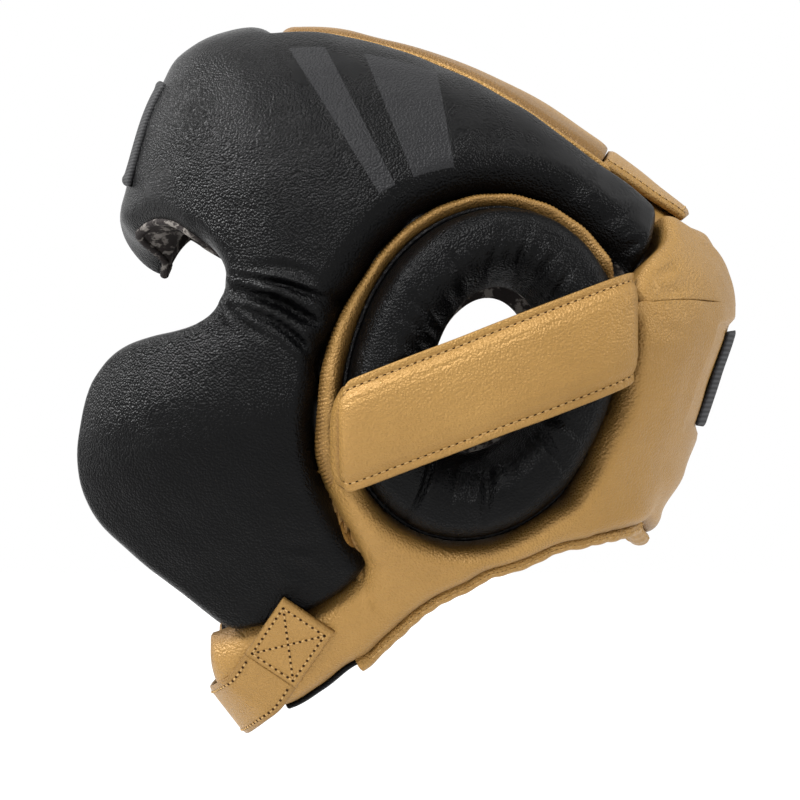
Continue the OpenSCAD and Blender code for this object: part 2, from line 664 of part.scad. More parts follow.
// Shares of the welt's depth across its width
WELT_HEIGHTS = [0.35, 0.85, 1, 0.85, 0.35];
WELT_START = 36;
module ear_welt(left) {
    n = 18;
    rows = [for (i = [0:n]) let (a = mix(WELT_START, WELT_END, i / n), w = welt_width(a) - 2 * seam_gap)
        [for (k = [0:4]) seen(from_ear(a, ear_rim(a) + seam_gap + w * k / 4))]];
    color(GOLD) both(left) slab(
        [for (r = rows) [for (k = [0:4]) place(r[k][0], r[k][1], pad_depth - welt_depth * WELT_HEIGHTS[k])]],
        [for (r = rows) [for (q = r) place(q[0], q[1], pad_depth - layer_gap)]]);
}

module neck_cover(left) { color(GOLD) both(left) pad_cover(neck_grid, rear_depth); }
module neck_foam(left) { color(FOAM) both(left) pad_foam(neck_grid, rear_depth, NECK_LOWS); }
module neck_lining(left) { color(LINING) both(left) pad_lining(neck_grid, rear_depth, NECK_LOWS); }
module neck_binding(left) {
    color(GOLD) both(left) rolled_edge(neck_hem_line, rear_depth, 0.03, NECK_BINDING_END, 12);
}

module yoke_cover() { color(GOLD) pad_cover(yoke_grid, rear_depth); }
module yoke_foam() { color(FOAM) pad_foam(yoke_grid, rear_depth, YOKE_LOWS); }
module yoke_lining() { color(LINING) pad_lining(yoke_grid, rear_depth, YOKE_LOWS); }

module flap_cover(left) { color(GOLD) both(left) pad_cover(flap_grid, rear_depth); }
module flap_foam(left) { color(FOAM) both(left) pad_foam(flap_grid, rear_depth, FLAP_LOWS); }
module flap_lining(left) { color(LINING) both(left) pad_lining(flap_grid, rear_depth, FLAP_LOWS); }
module flap_binding(left) { color(GOLD) both(left) rolled_edge(flap_low_line, rear_depth, 0.04, 0.96, 6); }

module crown_cover() { color(GOLD) pad_cover(crown_grid, crown_depth); }
module crown_foam() { color(FOAM) pad_foam(crown_grid, crown_depth, CROWN_LOWS); }
module crown_lining() { color(LINING) pad_lining(crown_grid, crown_depth, CROWN_LOWS); }

module crown_tongue() {
    color(GOLD) laid_sheet(
        across([[crown_break - 0.5, off_middle(crown_w / 2 - tongue_margin)],
                [CROWN_REAR + 0.5, off_middle(crown_w / 2 - tongue_margin)]],
            [[crown_break - 0.5, 0], [yoke_middle[0][0] + 0.4, 0]]),
        4, 6, function (u) tongue_depth, tongue_t);
}
module crown_loop_patch() {
    color(PATCH) laid_sheet(crown_patch_strip, 3, 6, function (u) tongue_depth - layer_gap - patch_t, patch_t);
}
module crown_flap() {
    color(GOLD) laid_sheet(
        strip(crown_break - 0.3, CROWN_END, crown_w / 2 - tongue_margin, crown_flap_w / 2),
        4, 6, function (u) 0, crown_flap_t);
}
module crown_hook_patch() {
    color(PATCH) laid_sheet(crown_patch_strip, 3, 6, function (u) crown_flap_t + layer_gap, patch_t);
}

// Rear strap: rows from its sewn end on the left flap to its free end on the right flap
STRAP_MIDDLE = -1.5;
rear_turn = turn_of(rear_strap_w / 2, reach(0) * norm(heading(0)));
function rear_spot(x0, x1, half) =
    function (u, v) let (x = mix(x0, x1, u)) [STRAP_MIDDLE + (2 * v - 1) * half, off_middle(x)];
rear_stack = 2 * (layer_gap + patch_t);
RISE_RATE = 2.5;
PATCH_WIDTH_SHARE = 0.85;
PATCH_END = 3;
module rear_strap() {
    color(STRAP) laid_sheet(rear_spot(rear_strap_root, -rear_strap_reach, rear_turn), 8, 3,
        function (u) -layer_gap - strap_t - rear_stack * ease(RISE_RATE * u), strap_t);
}
module rear_patch(depth) {
    laid_sheet(rear_spot(-flap_gap * 2, PATCH_END - rear_strap_reach, rear_turn * PATCH_WIDTH_SHARE), 4, 3,
        function (u) depth, patch_t);
}
module rear_hook_patch() { color(PATCH) rear_patch(-rear_stack); }
module rear_loop_patch() { color(PATCH) rear_patch(-layer_gap - patch_t); }

module chin_tab(left) {
    color(GOLD) both(left) tab_sheet(-chin_tab_length / 2, chin_tab_length / 2, chin_strap_w, tab_top, strap_t);
}
module chin_loop_patch() { color(PATCH) both(false) chin_patch(loop_top); }
module chin_hook_patch() { color(PATCH) both(false) chin_patch(hook_top); }
module chin_strap() { color(GOLD) chin_strap_band(); }

forehead_cover();
forehead_foam();
forehead_lining();
forehead_badge();
side_cover(true);  // side_cover_left
side_cover(false);  // side_cover_right
side_foam(true);  // side_foam_left
side_foam(false);  // side_foam_right
side_lining(true);  // side_lining_left
side_lining(false);  // side_lining_right
cheek_cover(true);  // cheek_cover_left
cheek_cover(false);  // cheek_cover_right
cheek_foam(true);  // cheek_foam_left
cheek_foam(false);  // cheek_foam_right
cheek_lining(true);  // cheek_lining_left
cheek_lining(false);  // cheek_lining_right
ear_pad_cover(true);  // ear_pad_cover_left
ear_pad_cover(false);  // ear_pad_cover_right
ear_pad_foam(true);  // ear_pad_foam_left
ear_pad_foam(false);  // ear_pad_foam_right
ear_pad_lining(true);  // ear_pad_lining_left
ear_pad_lining(false);  // ear_pad_lining_right
ear_strap(true);  // ear_strap_left
ear_strap(false);  // ear_strap_right
ear_welt(true);  // ear_welt_left
ear_welt(false);  // ear_welt_right
neck_cover(true);  // neck_cover_left
neck_cover(false);  // neck_cover_right
neck_foam(true);  // neck_foam_left
neck_foam(false);  // neck_foam_right
neck_lining(true);  // neck_lining_left
neck_lining(false);  // neck_lining_right
neck_binding(true);  // neck_binding_left
neck_binding(false);  // neck_binding_right
yoke_cover();
yoke_foam();
yoke_lining();
flap_cover(true);  // flap_cover_left
flap_cover(false);  // flap_cover_right
flap_foam(true);  // flap_foam_left
flap_foam(false);  // flap_foam_right
flap_lining(true);  // flap_lining_left
flap_lining(false);  // flap_lining_right
flap_binding(true);  // flap_binding_left
flap_binding(false);  // flap_binding_right
crown_cover();
crown_foam();
crown_lining();
crown_tongue();
crown_loop_patch();
crown_flap();
crown_hook_patch();
rear_strap();
rear_hook_patch();
rear_loop_patch();
chin_tab(true);  // chin_tab_left
chin_tab(false);  // chin_tab_right
chin_loop_patch();
chin_strap();
chin_hook_patch();
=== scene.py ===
import bpy
import numpy as np
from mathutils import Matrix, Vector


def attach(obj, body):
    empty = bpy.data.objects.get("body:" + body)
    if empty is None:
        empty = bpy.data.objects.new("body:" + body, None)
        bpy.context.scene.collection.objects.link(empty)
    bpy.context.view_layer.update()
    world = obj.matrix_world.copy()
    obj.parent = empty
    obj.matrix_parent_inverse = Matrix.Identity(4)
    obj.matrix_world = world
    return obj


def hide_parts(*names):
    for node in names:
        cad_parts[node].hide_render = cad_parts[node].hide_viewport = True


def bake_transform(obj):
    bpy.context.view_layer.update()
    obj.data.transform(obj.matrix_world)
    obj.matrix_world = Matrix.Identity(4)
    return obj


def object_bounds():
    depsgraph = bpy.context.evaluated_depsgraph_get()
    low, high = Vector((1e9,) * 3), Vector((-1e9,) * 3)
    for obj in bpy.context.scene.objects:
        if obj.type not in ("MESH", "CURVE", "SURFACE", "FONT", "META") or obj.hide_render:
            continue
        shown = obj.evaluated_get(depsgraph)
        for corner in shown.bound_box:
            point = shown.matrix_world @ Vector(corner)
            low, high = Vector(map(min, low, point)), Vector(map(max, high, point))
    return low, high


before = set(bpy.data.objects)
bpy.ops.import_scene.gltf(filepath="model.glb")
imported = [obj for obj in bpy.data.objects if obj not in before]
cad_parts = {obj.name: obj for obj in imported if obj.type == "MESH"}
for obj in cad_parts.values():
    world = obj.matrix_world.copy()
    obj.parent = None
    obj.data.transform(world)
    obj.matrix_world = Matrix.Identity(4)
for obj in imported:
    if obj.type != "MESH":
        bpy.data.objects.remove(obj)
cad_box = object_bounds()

# Front leather. One skin of black pebbled leather is drawn over the foam of the forehead, the two
# sides and the two cheeks. It turns in at the brow, the eye openings, the jaw and the crown, where
# it is sewn to the dark lining, and it folds where it bends at the outer corner of each eye.

# Lengths are in millimetres and angles in degrees until mesh_piece makes a mesh in metres
EAR = np.array([22.0, -19.0])
REACH = np.array([99, 110, 111.8, 109.8, 110.7, 117, 129, 146.5, 170, 184, 173, 163,
                  176, 194, 202, 202, 197, 190, 180, 168, 148, 114, 96, 94])
HALF_WIDTH = 103.0
BULGE = 2.6
JAW_TAPER = 0.34
PAD_DEPTH = 23.0
LINING_DEPTH = 1.4


def ease(t):
    """Smooth step: 0 below 0, 1 above 1, and 3t^2 - 2t^3 between."""
    c = np.clip(t, 0, 1)
    return c * c * (3 - 2 * c)


def bend(a, b, c, d, f):
    """Point at share f between b and c on the cubic that also heads for a and d."""
    return 0.5 * (2 * b + (c - a) * f + (2 * a - 5 * b + 4 * c - d) * f ** 2
                  + (3 * b - a - 3 * c + d) * f ** 3)


def reach(a):
    """Distance of the side outline from the ear axis at angle a, smooth through 24 measured ones."""
    s = np.asarray(a, float) % 360 / 15
    i = np.floor(s).astype(int)
    return bend(*(REACH[(i + k) % 24] for k in (-1, 0, 1, 2)), s - i)


def place(a, th, depth):
    """Point of the form: angle a round the ear axis, th from that axis, depth under the outline.
    The section is a superellipse, and the half width narrows from the cheeks to the jaw."""
    a, th = np.radians(a), np.radians(th)
    out = (reach(np.degrees(a)) - depth) * np.abs(np.sin(th)) ** (2 / BULGE)
    y, z = EAR[0] + out * np.cos(a), EAR[1] + out * np.sin(a)
    half = HALF_WIDTH * (1 - JAW_TAPER * ease((-20 - z) / 140))
    return np.stack([(half - depth) * np.cos(th), y, z], -1)


def seen(q, cut=-60.0):
    """Angles [a, th] of the form's point that a side view shows at q = [y, z]."""
    v = np.asarray(q, float) - EAR
    a = np.degrees(np.arctan2(v[..., 1], v[..., 0]))
    a = np.where(a < cut, a + 360, a)
    share = np.minimum(1, np.linalg.norm(v, axis=-1) / reach(a))
    return np.stack([a, np.degrees(np.arcsin(share ** (BULGE / 2)))], -1)


def along(points, t):
    """Smooth line through points, at shares t of its length."""
    p = np.asarray(points, float)
    run = np.concatenate([[0], np.cumsum(np.linalg.norm(np.diff(p, axis=0), axis=1))])
    d = np.asarray(t, float) * run[-1]
    i = np.clip(np.searchsorted(run, d, side="right") - 1, 0, len(p) - 2)
    f = ((d - run[i]) / (run[i + 1] - run[i]))[..., None]
    return bend(p[np.maximum(i - 1, 0)], p[i], p[i + 1], p[np.minimum(i + 2, len(p) - 1)], f)


def between(first, second, u, v):
    """Patch of angles whose rows run from the first line to the second."""
    u, v = np.meshgrid(u, v, indexing="ij")
    return along(first, u) * (1 - v)[..., None] + along(second, u) * v[..., None]


def across(ends, middle, u, v, lift=0.0):
    """Patch of angles that runs from the left over the mid-plane to the right. The row starts at
    ends, passes the mid-plane at middle, and is turned up between them by lift."""
    u, v = np.meshgrid(u, v, indexing="ij")
    w = 1 - 2 * v
    e, m = along(ends, u), along(middle, u)[..., 0]
    raised = lift * (1 - u) ** 2 * np.sin(np.pi * np.abs(w) ** 1.8).clip(0, 1) ** 0.64
    a = m + (e[..., 0] - m) * w * w - raised
    return np.stack([a, 90 - w * (90 - e[..., 1])], -1)


def close_at_ends(n, k0, k1):
    """n + 1 shares from 0 to 1 whose steps shrink by k0 towards 0 and by k1 towards 1."""
    s = np.linspace(0, 1, n + 1)
    both = s - np.sin(2 * np.pi * s) / (2 * np.pi)
    first, last = 1 - np.cos(np.pi / 2 * s), np.sin(np.pi / 2 * s)
    if k0 and k1:
        return s + (both - s) * max(k0, k1)
    return s + (first - s) * k0 if k0 else s + (last - s) * k1


def off_middle(x):
    """Angle from the ear axis of a point that lies x from the mid-plane."""
    return np.degrees(np.arccos(np.clip(np.asarray(x, float) / HALF_WIDTH, -1, 1)))


def ear_rim(a):
    """Radius of the ear pad's outer edge: an ellipse that leans by 70 degrees."""
    t = np.radians(np.asarray(a, float) - 70)
    return 75.5 * 58.5 / np.hypot(58.5 * np.cos(t), 75.5 * np.sin(t))


def from_ear(a, r):
    """Side-view point at angle a and distance r from the ear axis."""
    t = np.radians(np.asarray(a, float))
    return EAR + np.asarray(r)[..., None] * np.stack([np.cos(t), np.sin(t)], -1)


def welt_width(a):
    """Width of the welt round the ear pad, wider beside the cheek and under the ear."""
    a = np.asarray(a, float)
    return (6 + 3.5 * ease((a - 140) / 30) + 4.6 * ease((a - 190) / 22)
            + 3.8 * ease((a - 228) / 12)) * ease((262 - a) / 26)


def welt_edge(a):
    return from_ear(a, ear_rim(a) + welt_width(a))


def crown_edge(a):
    """Edge of the crown pad at angle a, which widens from 56 to 96 mm towards the back."""
    a = np.asarray(a, float)
    return np.stack([a, off_middle((56 + 40 * ease((113 - a) / 44)) / 2)], -1)


def inset(spots, depth):
    """Points of the pads: depth is measured square to the outline's surface, whose normal is the
    cross product of its two slopes."""
    a, th = spots[..., 0], spots[..., 1]
    normal = np.cross(place(a + 0.2, th, 0.0) - place(a - 0.2, th, 0.0),
                      place(a, th + 0.2, 0.0) - place(a, th - 0.2, 0.0))
    face, deep = place(a, th, 0.0), place(a, th, 5.0)
    normal *= (np.sign(np.sum(normal * (face - deep), -1)) / np.linalg.norm(normal, axis=-1))[..., None]
    return face - np.asarray(depth)[..., None] * normal


def grid_quads(k):
    """Quads between the neighbours of a grid of point numbers."""
    return np.stack([k[:-1, :-1], k[1:, :-1], k[1:, 1:], k[:-1, 1:]], -1).reshape(-1, 4)


def skin(*grids):
    """Grids of angles joined where their edges meet: the points, and quads that face outwards."""
    spots = np.concatenate([g.reshape(-1, 2) for g in grids])
    quads, start = [], 0
    for g in grids:
        k = start + np.arange(g.shape[0] * g.shape[1]).reshape(g.shape[:2])
        quads.append(grid_quads(k))
        start += k.size
    _, first, back = np.unique(np.round(spots, 5), axis=0, return_index=True, return_inverse=True)
    spots, quads = spots[first], back.reshape(-1)[np.concatenate(quads)]
    p, deep = place(spots[:, 0], spots[:, 1], 0.0), place(spots[:, 0], spots[:, 1], 10.0)
    face = np.cross(p[quads[:, 2]] - p[quads[:, 0]], p[quads[:, 3]] - p[quads[:, 1]])
    inward = np.sum(face * (p - deep)[quads].mean(1), 1) < 0
    quads[inward] = quads[inward][:, ::-1]
    return spots, quads


def mirrored(grid):
    """The same grid of angles on the wearer's right."""
    return np.stack([grid[..., 0], 180 - grid[..., 1]], -1)


def away(points, line):
    """Distance of each point from a line of points, and the share of the line at its nearest place."""
    a, ab = line[:-1], np.diff(line, axis=0)
    size = np.maximum(np.sum(ab * ab, 1), 1e-9)
    run = np.concatenate([[0], np.cumsum(np.sqrt(size))])
    found, share = np.empty(len(points)), np.empty(len(points))
    for k in range(0, len(points), 2000):
        p = points[k:k + 2000, None] - a
        t = np.clip(np.sum(p * ab, 2) / size, 0, 1)
        d = np.linalg.norm(p - t[..., None] * ab, axis=2)
        i = d.argmin(1)
        rows = np.arange(len(i))
        found[k:k + 2000] = d[rows, i]
        share[k:k + 2000] = (run[i] + t[rows, i] * np.sqrt(size[i])) / run[-1]
    return found, share


def rolled(d, radius, left=0.0):
    """Share of a pad's depth at distance d from a sewn edge: a quarter circle that starts at left."""
    return left + (1 - left) * np.sqrt(1 - (1 - np.clip(d / radius, 0, 1)) ** 2)


def waves(p, size, seed):
    """Soft unevenness from -1 to 1: a sum of seven sine waves of about that size in seeded directions."""
    rng = np.random.default_rng(seed)
    ways = rng.normal(size=(7, 3))
    ways *= (rng.uniform(0.7, 1.5, 7) * 2 * np.pi / size / np.linalg.norm(ways, axis=1))[:, None]
    return np.sin(p @ ways.T + rng.uniform(0, 6.28, 7)).sum(1) / 3.5


def fold(q, path, width, deep, start=0.0, end=0.0, lip=0.35):
    """Depth of a fold in the leather at side-view points q: a sharp notch across the path with a
    raised lip on both sides. It fades to the shares start and end at the path's ends."""
    d, s = away(q, along(np.array(path, float), np.linspace(0, 1, 24)))
    fade = np.where(s < 0.5, start + (1 - start) * ease(s * 2), end + (1 - end) * ease(2 - s * 2))
    notch = np.exp(-(d / width) ** 1.2)
    return deep * fade * (notch - lip * np.exp(-((d - 1.9 * width) / (0.8 * width)) ** 2))


def creases(q, rows):
    """Sum of folds. Each row is a fold's path, width and depth, then what differs of start, end and lip."""
    return sum(fold(q, *row) for row in rows)


def mesh_piece(name, points, faces, finishes, which=None, smooth=True):
    """A named object from points in millimetres. which gives each face's finish where it has several."""
    mesh = bpy.data.meshes.new(name)
    mesh.from_pydata((np.asarray(points, float) / 1000).tolist(), [], [list(map(int, f)) for f in faces])
    for finish in finishes:
        mesh.materials.append(finish)
    if which is not None:
        mesh.polygons.foreach_set("material_index", np.asarray(which, np.int32))
    mesh.polygons.foreach_set("use_smooth", np.full(len(faces), smooth))
    mesh.update()
    piece = bpy.data.objects.new(name, mesh)
    bpy.context.scene.collection.objects.link(piece)
    return piece


def mark(piece, name, values):
    """Writes a number for each point, which the finishes read by name."""
    written = piece.data.attributes.new(name, "FLOAT", "POINT").data
    written.foreach_set("value", np.asarray(values, np.float32))


def pad(name, spots, quads, top, bottom, leather, lining, edge, lined=None):
    """Closed pad: leather at the depth top, lining at the depth bottom, and a wall round their edges,
    which is lining where lined says so."""
    n = len(spots)
    upper, lower = inset(spots, top), inset(spots, np.broadcast_to(bottom, (n,)))
    start, end = quads.reshape(-1), np.roll(quads, -1, axis=1).reshape(-1)
    loose = ~np.isin(start * n + end, end * n + start)
    i, j = start[loose], end[loose]
    wall = np.stack([j, i, i + n, j + n], -1)
    faces = np.concatenate([quads, wall, quads[:, ::-1] + n])
    which = np.repeat([0, 0, 1], [len(quads), len(wall), len(quads)])
    if lined is not None:
        which[len(quads):len(quads) + len(wall)] = lined[i]
    piece = mesh_piece(name, np.concatenate([upper, lower]), faces, [leather, lining], which)
    # edge is the distance in from the free edges; on gold leather it paints shade where it is small
    mark(piece, "edge", np.concatenate([edge, np.zeros(n)]))
    return piece


class Tone:
    """One output of a finish's node tree. Sums and products of tones add Math nodes."""

    def __init__(self, tree, socket=None):
        self.tree, self.socket = tree, socket

    def add(self, kind, settings={}, inputs={}, out=0):
        """Adds a node: first its settings, then the value or the link of each input."""
        made = self.tree.nodes.new(kind)
        for key, value in settings.items():
            setattr(made, key, value)
        for key, value in inputs.items():
            if isinstance(value, Tone):
                self.tree.links.new(value.socket, made.inputs[key])
            else:
                made.inputs[key].default_value = value
        return Tone(self.tree, made.outputs[out] if made.outputs else None)

    def maths(self, operation, *values):
        return self.add("ShaderNodeMath", {"operation": operation}, dict(enumerate(values)))

    def __add__(self, other):
        return self.maths("ADD", self, other)

    def __sub__(self, other):
        return self.maths("SUBTRACT", self, other)

    def __rsub__(self, other):
        return self.maths("SUBTRACT", other, self)

    def __mul__(self, other):
        return self.maths("MULTIPLY", self, other)

    __radd__, __rmul__ = __add__, __mul__

    def step(self, low, high):
        """0 below low and 1 above high, smooth between."""
        return self.add("ShaderNodeMapRange", {"interpolation_type": "SMOOTHSTEP"},
                        {"Value": self, "From Min": low, "From Max": high})

    def dye(self, first, second):
        """Colour that goes from first to second with this tone."""
        return self.add("ShaderNodeMix", {"data_type": "RGBA"}, {0: self, 6: first, 7: second}, out=2)

    def noise(self, scale, detail=2.0, rough=0.5):
        return self.add("ShaderNodeTexNoise", {},
                        {"Vector": self, "Scale": scale, "Detail": detail, "Roughness": rough})

    def cells(self, scale):
        return self.add("ShaderNodeTexVoronoi", {"feature": "F1"}, {"Vector": self, "Scale": scale})

    def bump(self, strength, distance, below=None):
        inputs = {"Strength": strength, "Distance": distance, "Height": self}
        if below:
            inputs["Normal"] = below
        return self.add("ShaderNodeBump", {}, inputs)


def dyed(red, green, blue):
    """Colour as light, from the shares that a screen shows."""
    shares = (red, green, blue)
    return tuple(c / 12.92 if c < 0.04045 else ((c + 0.055) / 1.055) ** 2.4 for c in shares) + (1.0,)


def finish(name, **fixed):
    """A new finish: the tone of its object coordinates, and a way to join tones to its shader."""
    made = bpy.data.materials.new(name)
    made.use_nodes = True
    tree = made.node_tree
    shader = next(n for n in tree.nodes if n.type == "BSDF_PRINCIPLED")
    for key, value in fixed.items():
        shader.inputs[key.replace("_", " ")].default_value = value
    at = Tone(tree).add("ShaderNodeTexCoord", out=3)

    def join(**tones):
        for key, tone in tones.items():
            tree.links.new(tone.socket, shader.inputs[key.replace("_", " ")])
        return made
    return at, join


def grained(at, size, strength, below=None):
    """Pebbled leather grain: rounded cells of that size in metres, broken up by finer noise."""
    drift = at.add("ShaderNodeTexNoise", {}, {"Vector": at, "Scale": 0.6 / size}, out=1)
    shift = at.add("ShaderNodeVectorMath", {"operation": "SCALE"}, {0: drift, "Scale": size * 0.35})
    bent = at.add("ShaderNodeVectorMath", {"operation": "ADD"}, {0: at, 1: shift})
    pebbles = bent.cells(1 / size)
    fine = at.noise(2.6 / size, 2.0)
    return (1 - pebbles * 0.9 + fine * 0.2).bump(strength, size * 0.6, below)


BLACK_DARK, BLACK_PALE = dyed(0.012, 0.012, 0.014), dyed(0.030, 0.030, 0.033)
BAND_GREY = dyed(0.170, 0.170, 0.175)
at, join = finish("black_leather", Specular_IOR_Level=0.09)
swell_tone = at.noise(22, 3.0)
creased = at.noise(70, 4.0, 0.62)
axis_x, axis_y, axis_z = (at.add("ShaderNodeSeparateXYZ", {}, {0: at}, out=k) for k in range(3))
# Two plain tonal wedges, which widen upwards from the ear pad, on the side pads only
off_y, off_z = axis_y + -EAR[0] / 1000, axis_z + -EAR[1] / 1000
turn_tone = off_z.maths("ARCTAN2", off_z, off_y) * (180 / np.pi)
past_pad = (off_y * off_y + off_z * off_z).step(0.0068, 0.0069)
aside = axis_x.maths("ABSOLUTE", axis_x).step(0.050, 0.0505) * past_pad
band = (turn_tone.step(99, 99.2) * (1 - turn_tone.step(110.6, 110.8))
        + turn_tone.step(116, 116.2) * (1 - turn_tone.step(121, 121.2))) * aside
black_leather = join(
    Base_Color=(band * 0.8).dye(swell_tone.dye(BLACK_DARK, BLACK_PALE), BAND_GREY),
    Roughness=0.22 + 0.12 * swell_tone + 0.08 * band,
    Normal=grained(at, 0.00095, 0.75, creased.bump(0.14, 0.0012)))

at, join = finish("dark_lining", Specular_IOR_Level=0.2)
mottle = at.noise(190, 4.0, 0.62).step(0.50, 0.60)
dark_lining = join(
    Base_Color=mottle.dye(dyed(0.15, 0.13, 0.125), dyed(0.47, 0.45, 0.43)),
    Roughness=0.78 + 0.1 * mottle,
    Normal=grained(at, 0.0008, 0.3))

eye_corner = np.array([-88.4, 20.0])
side_tip = np.array([88.0, 28.0])
CROWN_FRONT, CROWN_REAR = 121.0, 42.0
crown_line = crown_edge(np.arange(CROWN_FRONT, CROWN_REAR - 1, -13))
temple_line = np.stack([seen(eye_corner), crown_edge(CROWN_FRONT)])
brow_middle = np.stack([seen([[-126.5, 25.6], [-128, 72], [-105, 112], [-68, 127]])[:, 0], np.zeros(4)], -1)
BROW_LIFT = np.degrees(20 / 160)
welt_front = seen(welt_edge(154))
temple_edge = [seen(eye_corner) * (1 - t) + welt_front * t for t in (0, 0.5, 0.92)]
side_low_line = np.concatenate([temple_edge, seen(welt_edge(np.arange(154, 51, -17.0))), [seen(side_tip)]])
cheek_rear_line = np.concatenate([seen(welt_edge(154 + 16.6 * np.arange(6))),
                                  seen([[-28.4, -101.8], [-34, -108], [-48, -117]])])
cheek_front_line = np.concatenate([[seen(eye_corner)], seen([
    [-89.8, 14], [-93, 9.2], [-99, 5.8], [-107, 3.6], [-117, 1.8], [-128.5, -2.3], [-137.5, -11],
    [-145, -24.5], [-150.3, -52], [-144.5, -76.5], [-125.8, -97], [-104.8, -113.4], [-88, -126.5]])])

DENSE = 2.1
up_shares = close_at_ends(int(44 * DENSE), 0.9, 0.9)
cheek_shares = close_at_ends(int(44 * DENSE), 0.85, 0.85)
forehead_grid = across(temple_line, brow_middle, up_shares,
                       np.linspace(0, 1, int(130 * DENSE) + 1), BROW_LIFT)
cheek_grid = between(cheek_front_line, cheek_rear_line, close_at_ends(int(60 * DENSE), 0, 0.85), cheek_shares)
table = np.linspace(0, 1, 4001)
low_angles = along(side_low_line, table)
welt_at = table[np.argmin(np.abs(low_angles - welt_front).sum(1))]
before = table <= welt_at
met = np.interp(-cheek_grid[0, :, 1], -low_angles[before][:, 1], table[before])
side_shares = np.concatenate([met[:-1], welt_at + (1 - welt_at) * close_at_ends(int(84 * DENSE), 0, 0.8)])
side_grid = between(side_low_line, crown_line, side_shares, up_shares)
side_grid[:len(met), 0] = cheek_grid[0]
front_spots, front_quads = skin(forehead_grid, side_grid, mirrored(side_grid),
                                cheek_grid, mirrored(cheek_grid))


def surface(spots):
    """Points of the outline over angles."""
    return place(spots[..., 0], spots[..., 1], 0.0)


BROW_FULL, BROW_END = 0.72, 164.5


def brow_kept(spots):
    """How far out each place is on the brow, from 0 at the mid-plane to 1 at the eye corner, and the
    share of the pad's depth that its open edge keeps: a smooth step up and a smooth step down."""
    out = np.abs(90 - spots[:, 1]) / (90 - seen(eye_corner)[1])
    return out, BROW_FULL * ease((out - 0.1) / 0.28) * ease((1.0 - out) / 0.2) * (spots[:, 0] < BROW_END)


at_outline = surface(front_spots)
open_edges = [forehead_grid[0], cheek_grid[:, 0], mirrored(cheek_grid[:, 0])]
sewn_edges = [cheek_grid[-1], cheek_grid[:, -1], side_grid[-1]]
sewn_edges += [mirrored(row) for row in sewn_edges]
crown_edges = [forehead_grid[-1], side_grid[:, -1], mirrored(side_grid[:, -1])]
to_open = np.min([away(at_outline, surface(row))[0] for row in open_edges], axis=0)
to_sewn = np.min([away(at_outline, surface(row))[0] for row in sewn_edges], axis=0)
to_free = np.minimum(to_open, to_sewn)
to_crown = np.min([away(at_outline, surface(row))[0] for row in crown_edges], axis=0)
over_ear = side_grid[len(met) - 1:, 0]
to_ear = np.minimum(*(away(at_outline, surface(row))[0] for row in (over_ear, mirrored(over_ear))))
crowned = 1 - 0.07 * (1 - np.clip(np.minimum(to_free, to_crown) / 40, 0, 1)) ** 2
at_middle = np.sin(np.radians(front_spots[:, 1]))
share_out, brow_left = brow_kept(front_spots)
height = (rolled(to_open, 11 + 11 * ease((0.34 - share_out) / 0.3), brow_left) * rolled(to_sewn, 6, 0.5)
          * rolled(to_crown, 8, 0.5 + 0.38 * at_middle ** 12) * rolled(to_ear, 13, 0.3) * crowned)
under_patch = 2.0 * ease((12 - np.abs(front_spots[:, 0] - 145.5)) / 5) * at_middle ** 6
brow_bulge = 2.2 * np.exp(-((front_spots[:, 0] - 128) / 7) ** 2) * at_middle ** 6

# The folds at the outer corner of the eye, and the softer ones over the ear and at the back
side_view = at_outline[:, 1:]
folds = creases(side_view, (
    ([[-84, 15], [-75.7, 13.6], [-62.2, 9.6], [-50.3, 3.2], [-37.4, -3.2]], 2.2, 6.2, 0.25, 0.4, 0.45),
    ([[-80, 19.5], [-70, 18], [-58, 15.6], [-46, 11.4], [-34, 6]], 1.5, 3.0, 0.2, 0.2, 0.45),
    ([[-78, 8.5], [-63, 2], [-53.5, -5.5], [-45.5, -14.5], [-40, -24]], 1.6, 3.9, 0.2, 0.2, 0.45),
    ([[-84, 10.5], [-78, 4], [-71, -2], [-62, -9]], 1.2, 1.8, 0.6),
    ([[-87, 7], [-82, 0], [-77, -6]], 1.0, 1.1, 0.6),
    ([[-93, 4], [-89, -3], [-86, -9]], 1.0, 0.8, 0.6),
    ([[-72, 10], [-66, 8.4], [-60, 5.4]], 1.0, 1.2),
    ([[-66, 13.6], [-58, 11.8], [-50, 8.2]], 0.9, 1.2),
    ([[-76, 22.5], [-62, 23.5], [-50, 21], [-38, 15]], 1.8, 0.9),
    ([[-58, 29], [-46, 27], [-36, 21]], 2.2, 0.6),
    ([[72, 38], [80, 35.5], [90, 36.5]], 1.5, 2.0),
    ([[64, 48], [76, 46], [86, 48]], 2.4, 1.1),
    ([[50, 52], [60, 58], [68, 66]], 3.2, 0.7),
    ([[20, 63], [24, 74], [27, 84]], 4.0, 0.5),
    ([[-64, -92], [-52, -98], [-42, -104]], 3.0, 0.9),
    ([[-44, -84], [-52, -88], [-62, -88]], 2.2, 0.7)))
uneven = waves(at_outline, 60, 3) * 0.5 + waves(at_outline, 23, 4) * 0.2
depth = PAD_DEPTH * (1 - height) + (folds - uneven) * np.clip(to_free / 6, 0, 1) - brow_bulge + under_patch
front_leather = pad("front_leather", front_spots, front_quads, depth, PAD_DEPTH + LINING_DEPTH,
                    black_leather, dark_lining, np.minimum(to_free, to_crown), (brow_left > 0.02).astype(int))
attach(front_leather, "headguard")
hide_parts("forehead_cover", "forehead_foam", "forehead_lining",
            *(f"{part}_{layer}_{side}" for part in ("side", "cheek") for layer in ("cover", "foam", "lining")
              for side in ("left", "right")))

# A dark rolled rim is sewn along the free edge of the face opening, where leather meets lining
face_edge = np.concatenate([cheek_grid[:0:-1, 0], forehead_grid[0], mirrored(cheek_grid)[1:, 0]])


